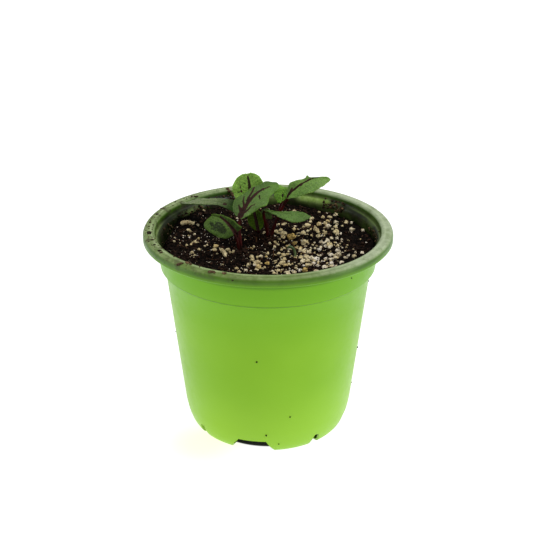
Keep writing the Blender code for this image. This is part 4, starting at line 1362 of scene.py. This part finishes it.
def blade_slant(leaf, side, t, half, reach):
    """How far along the blade a place beside the midrib leans towards the tip."""
    slant = leaf.get("slants", (0.0, 0.0))[side]
    if side == 0:
        slant += leaf.get("fan", 0.0) * (t - 0.5)
    return slant * half * reach * (2 - reach)


def blade_length(leaf):
    return (Vector(leaf["spine"][2]) - Vector(leaf["spine"][0])).length * MM


def blade_frame(leaf, t):
    spine = [Vector(point) * MM for point in leaf["spine"]]
    along = bezier_direction(spine, t)
    face = Vector(leaf["face"][0]).lerp(Vector(leaf["face"][1]), t)
    face = (face - along * face.dot(along)).normalized()
    return bezier(spine, t), along, face


def blade_point(leaf, t, across):
    """A point on the blade's upper side; t runs from base to tip, across from -1 to 1."""
    place, along, face = blade_frame(leaf, t)
    right = along.cross(face)
    side = 1 if across > 0 else 0
    half = half_width(leaf, side, t)
    reach = abs(across)
    fold = math.radians(leaf["folds"][side]) * (1 - 0.45 * reach)
    count, height = leaf["waves"]
    wave = height * MM * reach ** 2 * math.sin(math.tau * count * t + (1.3 if across > 0 else 3.4))
    offset = half * reach * math.cos(fold) * math.copysign(1, across)
    slant = blade_slant(leaf, side, t, half, reach)
    return place + right * offset + along * slant + face * (half * reach * math.sin(fold) + wave)


def vein_share(leaf, t, across):
    """How strongly the midrib or a side vein runs through a place on the blade."""
    length = blade_length(leaf)
    side = 1 if across > 0 else 0
    reach = abs(across)
    midrib = math.exp(-(reach * half_width(leaf, side, t) / (0.32 * MM)) ** 2)
    spacing = 0.105
    slant = 0.62 * half_width(leaf, side, 0.5) / length
    start = t - slant * reach * (1.0 - 0.3 * reach) - spacing * 0.45 * (1 - side)
    away = abs((start / spacing + 0.5) % 1.0 - 0.5) * spacing * length
    width = 0.30 * MM * (1 - 0.5 * reach)
    lateral = math.exp(-(away / width) ** 2) * (1 - soft_step(0.75, 1.0, reach)) * soft_step(0.0, 0.06, start)
    return max(midrib, 0.8 * lateral)


def stroke_share(strokes, along, across):
    """How strongly one of a blade's strokes covers a place, in millimetres along and across it."""
    here = Vector((along, across))
    strongest = 0.0
    for route, start_width, end_width in strokes:
        pieces = len(route) - 1
        for index in range(pieces):
            first = Vector(route[index])
            way = Vector(route[index + 1]) - first
            share = min(max((here - first).dot(way) / max(way.length_squared, 1e-9), 0.0), 1.0)
            width = start_width + (end_width - start_width) * (index + share) / pieces
            away = (here - first - way * share).length
            strongest = max(strongest, 1.0 - soft_step(0.3, 1.1, away / width))
    return strongest


def blade_form(leaf, shift):
    """The blade's upper side, with sunk veins, puckers between them and a fine waved margin."""
    form = bmesh.new()
    bmesh.ops.create_grid(form, x_segments=BLADE_COLUMNS, y_segments=BLADE_ROWS, size=1.0)
    layers = {}
    for name in ("vein", "mark", "blot", "edge", "dust", "shade"):
        layers[name] = form.verts.layers.float.new(name)
    base_dust, tip_dust = leaf["dust"]
    for vertex in form.verts:
        t = 0.5 + 0.5 * math.sin(vertex.co.y * math.pi / 2)
        across = vertex.co.x
        side = 1 if across > 0 else 0
        half = half_width(leaf, side, t)
        along_mm = (t * blade_length(leaf) + blade_slant(leaf, side, t, half, abs(across))) / MM
        across_mm = across * half / MM
        vein = vein_share(leaf, t, across)
        vertex[layers["vein"]] = vein
        vertex[layers["mark"]] = stroke_share(leaf["marks"], along_mm, across_mm)
        vertex[layers["blot"]] = stroke_share(leaf["blots"], along_mm, across_mm)
        from_edge = min(half * (1 - abs(across)), (1 - t) * blade_length(leaf)) / MM
        vertex[layers["edge"]] = 1 - soft_step(0.3, 1.0, from_edge / leaf["margins"][side])
        vertex[layers["dust"]] = min(1.0, max(0.0, base_dust + (tip_dust - base_dust) * t))
        vertex[layers["shade"]] = leaf.get("shades", (0.0, 0.0))[side] * soft_step(0.0, 0.35, abs(across))
        place = blade_point(leaf, t, across)
        face = blade_frame(leaf, t)[2]
        pucker = noise.noise(place * 420 + shift) * 0.24 * MM
        curl = soft_step(0.88, 1.0, abs(across)) * 0.16 * MM
        ragged = noise.noise(place * 650 + shift) * 0.25 * MM * soft_step(0.9, 1.0, abs(across))
        outwards = (place - blade_frame(leaf, t)[0]).normalized()
        vertex.co = place + face * (pucker - vein * 0.16 * MM - curl) + outwards * ragged
    bmesh.ops.triangulate(form, faces=form.faces)
    return form


def make_blade(name, leaf):
    blade = loose_object(name, mesh_from(name, blade_form(leaf, Vector((len(name) * 3.7, 1.0, 2.0)))))
    shell = blade.modifiers.new("Thickness", "SOLIDIFY")
    shell.thickness = BLADE_THICKNESS
    shell.offset = -1.0
    mesh = finished_mesh(blade)
    half = len(mesh.vertices) // 2
    point_attribute(mesh, "back", [0.0] * half + [1.0] * (len(mesh.vertices) - half))
    smooth(mesh)
    add_piece(f"{name}_leaf", mesh, leaf_finish(f"{name}_leaf_green", leaf), "leaf_green", f"{name}_blade")


def add_rod(form, route, radii, sides):
    """A round rod along a list of points, closed at both ends, added to a bmesh."""
    loops = []
    side = None
    for index, place in enumerate(route):
        before = route[max(index - 1, 0)]
        after = route[min(index + 1, len(route) - 1)]
        along = (after - before).normalized()
        if side is None:
            side = along.orthogonal().normalized()
        side = (side - along * side.dot(along)).normalized()
        turn = Matrix((side, along.cross(side), along)).transposed().to_4x4()
        made = bmesh.ops.create_circle(
            form, cap_ends=False, segments=sides, radius=radii[index], matrix=Matrix.Translation(place) @ turn)
        loops.append(list({edge for corner in made["verts"] for edge in corner.link_edges}))
    for first, second in zip(loops, loops[1:]):
        bmesh.ops.bridge_loops(form, edges=first + second)
    bmesh.ops.holes_fill(form, edges=loops[0], sides=sides)
    bmesh.ops.holes_fill(form, edges=loops[-1], sides=sides)


def smoothed(points, radii, count):
    """Many points on a smooth curve through a few, with the radius carried along."""
    route = []
    sizes = []
    last = len(points) - 1
    for step in range(count + 1):
        place = step / count * last
        index = min(int(place), last - 1)
        t = place - index
        before = points[max(index - 1, 0)]
        start = points[index]
        end = points[index + 1]
        after = points[min(index + 2, last)]
        straight = start * 2 + (end - before) * t
        bend = (before * 2 - start * 5 + end * 4 - after) * t * t
        twist = (start * 3 - before - end * 3 + after) * t ** 3
        route.append((straight + bend + twist) * 0.5)
        sizes.append(radii[index] * (1 - t) + radii[index + 1] * t)
    return route, sizes


def stalk_route(leaf):
    """Where the leaf's stalk runs: out of its crown, up to the blade and on under the midrib."""
    crown_x, crown_y = CROWNS[leaf["crown"]]
    rib = []
    radii = []
    for t, share in RIB_TAPER[:leaf.get("rib_points", 4)]:
        place, _, face = blade_frame(leaf, t)
        radius = STALK_RADIUS * share
        rib.append(place - face * (BLADE_THICKNESS + 0.05 * MM + radius * 0.8))
        radii.append(radius)
    radii[-1] *= 0.4
    bend = Vector(leaf["bend"]) * MM
    foot = Vector((crown_x, crown_y, soil_height(crown_x, crown_y) + CROWN_TOP - CROWN_SINK))
    lean = bend - foot
    lean.z = 0.0
    foot += lean.normalized() * min(lean.length, 0.45 * CROWN_RADIUS)
    start = (foot, bend, rib[0] + (rib[0] - rib[1]) * 0.25)
    low = [bezier(start, t / 5) for t in range(5)]
    return smoothed([*low, *rib], [STALK_RADIUS * 1.1] * 5 + radii, 36)


def make_stalks(crown, finish):
    """A crown with its taproot and the stalks of the leaves that grow from it."""
    crown_x, crown_y = CROWNS[crown]
    top = soil_height(crown_x, crown_y)
    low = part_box(f"stalks_{crown}")[0].z
    root = CROWN_RADIUS * 0.55
    profile = [
        (0.0, top + CROWN_TOP),
        (CROWN_RADIUS * 0.35, top + CROWN_TOP - 0.25 * MM),
        (CROWN_RADIUS * 0.65, top + CROWN_TOP - 0.9 * MM),
        (CROWN_RADIUS * 0.9, top - 0.2 * MM),
        (CROWN_RADIUS, top - 1.6 * MM),
        (CROWN_RADIUS * 0.85, top - 5.0 * MM),
        (root, low + 1.0 * MM),
        (root * 0.5, low),
        (0.0, low),
    ]
    form = turned_form(profile, 28)
    bmesh.ops.translate(form, verts=form.verts, vec=(crown_x, crown_y, 0.0))
    for leaf in LEAVES.values():
        if leaf["crown"] == crown:
            route, radii = stalk_route(leaf)
            add_rod(form, route, radii, STALK_SIDES)
    mesh = mesh_from(f"stalks_{crown}", form)
    smooth(mesh, 60.0)
    add_piece(f"red_stalks_{crown}", mesh, finish, "stalk_red", f"stalks_{crown}")


def make_sprout():
    form = bmesh.new()
    points = [Vector(point) * MM for point in SPROUT_ROUTE]
    route, radii = smoothed(points, [radius * MM for radius in SPROUT_RADII], 28)
    add_rod(form, route, radii, 10)
    mesh = mesh_from("sprout", form)
    smooth(mesh, 60.0)
    add_piece("arching_seedling", mesh, sprout_finish(), "sprout_green", "sprout")


# The stage


def floor_finish():
    """A white floor that glows evenly, except under the pot, where a painted shadow stops the glow."""
    paint = Paint("white_floor")
    place = paint.place()
    length = paint.node("ShaderNodeVectorMath", operation="LENGTH")
    paint.link(place, length.inputs[0])
    # Painted shadow: the glow stops in a disc under the pot's foot.
    paint.link(
        paint.spread(length.outputs["Value"], FLOOR_RADIUS + 3.7 * MM, FLOOR_RADIUS + 4.5 * MM, 0.0, FLOOR_GLOW),
        paint.shader.inputs["Emission Strength"])
    paint.shader.inputs["Base Color"].default_value = (0.3, 0.3, 0.3, 1.0)
    paint.shader.inputs["Roughness"].default_value = 0.8
    away = paint.node("ShaderNodeVectorMath", operation="DISTANCE")
    paint.link(place, away.inputs[0])
    away.inputs[1].default_value = round_place(-137.0, FOOT_RADIUS + 8.0 * MM, 0.0)
    tinted = paint.spread(away.outputs["Value"], 26.0 * MM, 4.0 * MM)
    white = (1.0, 1.0, 1.0, 1.0)
    paint.link(paint.mix(tinted, white, srgb(253, 255, 224)), paint.shader.inputs["Emission Color"])
    return paint.material


def make_floor():
    form = bmesh.new()
    bmesh.ops.create_grid(form, x_segments=2, y_segments=2, size=14.0)
    floor = loose_object("white_floor", mesh_from("white_floor", form))
    floor.data.materials.append(floor_finish())


def aim(item, target):
    item.rotation_euler = (Vector(target) - item.location).to_track_quat("-Z", "Y").to_euler()


def add_light(name, place, target, size, power):
    light = bpy.data.lights.new(name, "AREA")
    light.shape = "DISK"
    light.size = size
    light.energy = power
    item = loose_object(name, light)
    item.location = place
    aim(item, target)


def make_lights():
    world = bpy.data.worlds.new("white_surround")
    bpy.context.scene.world = world
    world.use_nodes = True
    background = world.node_tree.nodes["Background"]
    background.inputs["Color"].default_value = (1.0, 1.0, 1.0, 1.0)
    background.inputs["Strength"].default_value = ROOM_LIGHT
    add_light("overhead", (0.2, 0.05, 0.85), (0, 0, 0.06), 0.5, OVERHEAD_POWER)
    add_light("left", (-0.7, -0.1, 0.2), (0, 0, 0.05), 0.4, LEFT_POWER)
    add_light("right", (0.7, -0.25, 0.2), (0, 0, 0.05), 0.4, RIGHT_POWER)
    view = bpy.context.scene.view_settings
    view.view_transform = "Standard"
    view.look = "None"


def make_camera():
    camera = bpy.data.cameras.new("camera")
    camera.sensor_width = 36.0
    camera.lens = CAMERA_LENS
    camera.clip_start = 0.01
    item = loose_object("camera", camera)
    tilt = math.radians(CAMERA_ELEVATION)
    back = Vector((0.0, -math.cos(tilt), math.sin(tilt))) * CAMERA_DISTANCE
    item.location = Vector(CAMERA_TARGET) + back
    aim(item, CAMERA_TARGET)
    bpy.context.scene.camera = item


def main():
    make_camera()
    make_lights()
    make_floor()
    make_pot()
    make_soil()
    make_grains()
    make_crumbs()
    make_stuck_crumbs()
    make_fibres(crumb_finish("bark_brown", (58, 36, 22), (128, 88, 54)))
    make_chips()
    for name, leaf in LEAVES.items():
        make_blade(name, leaf)
    finish = stalk_finish()
    for crown in CROWNS:
        make_stalks(crown, finish)
    make_sprout()


main()
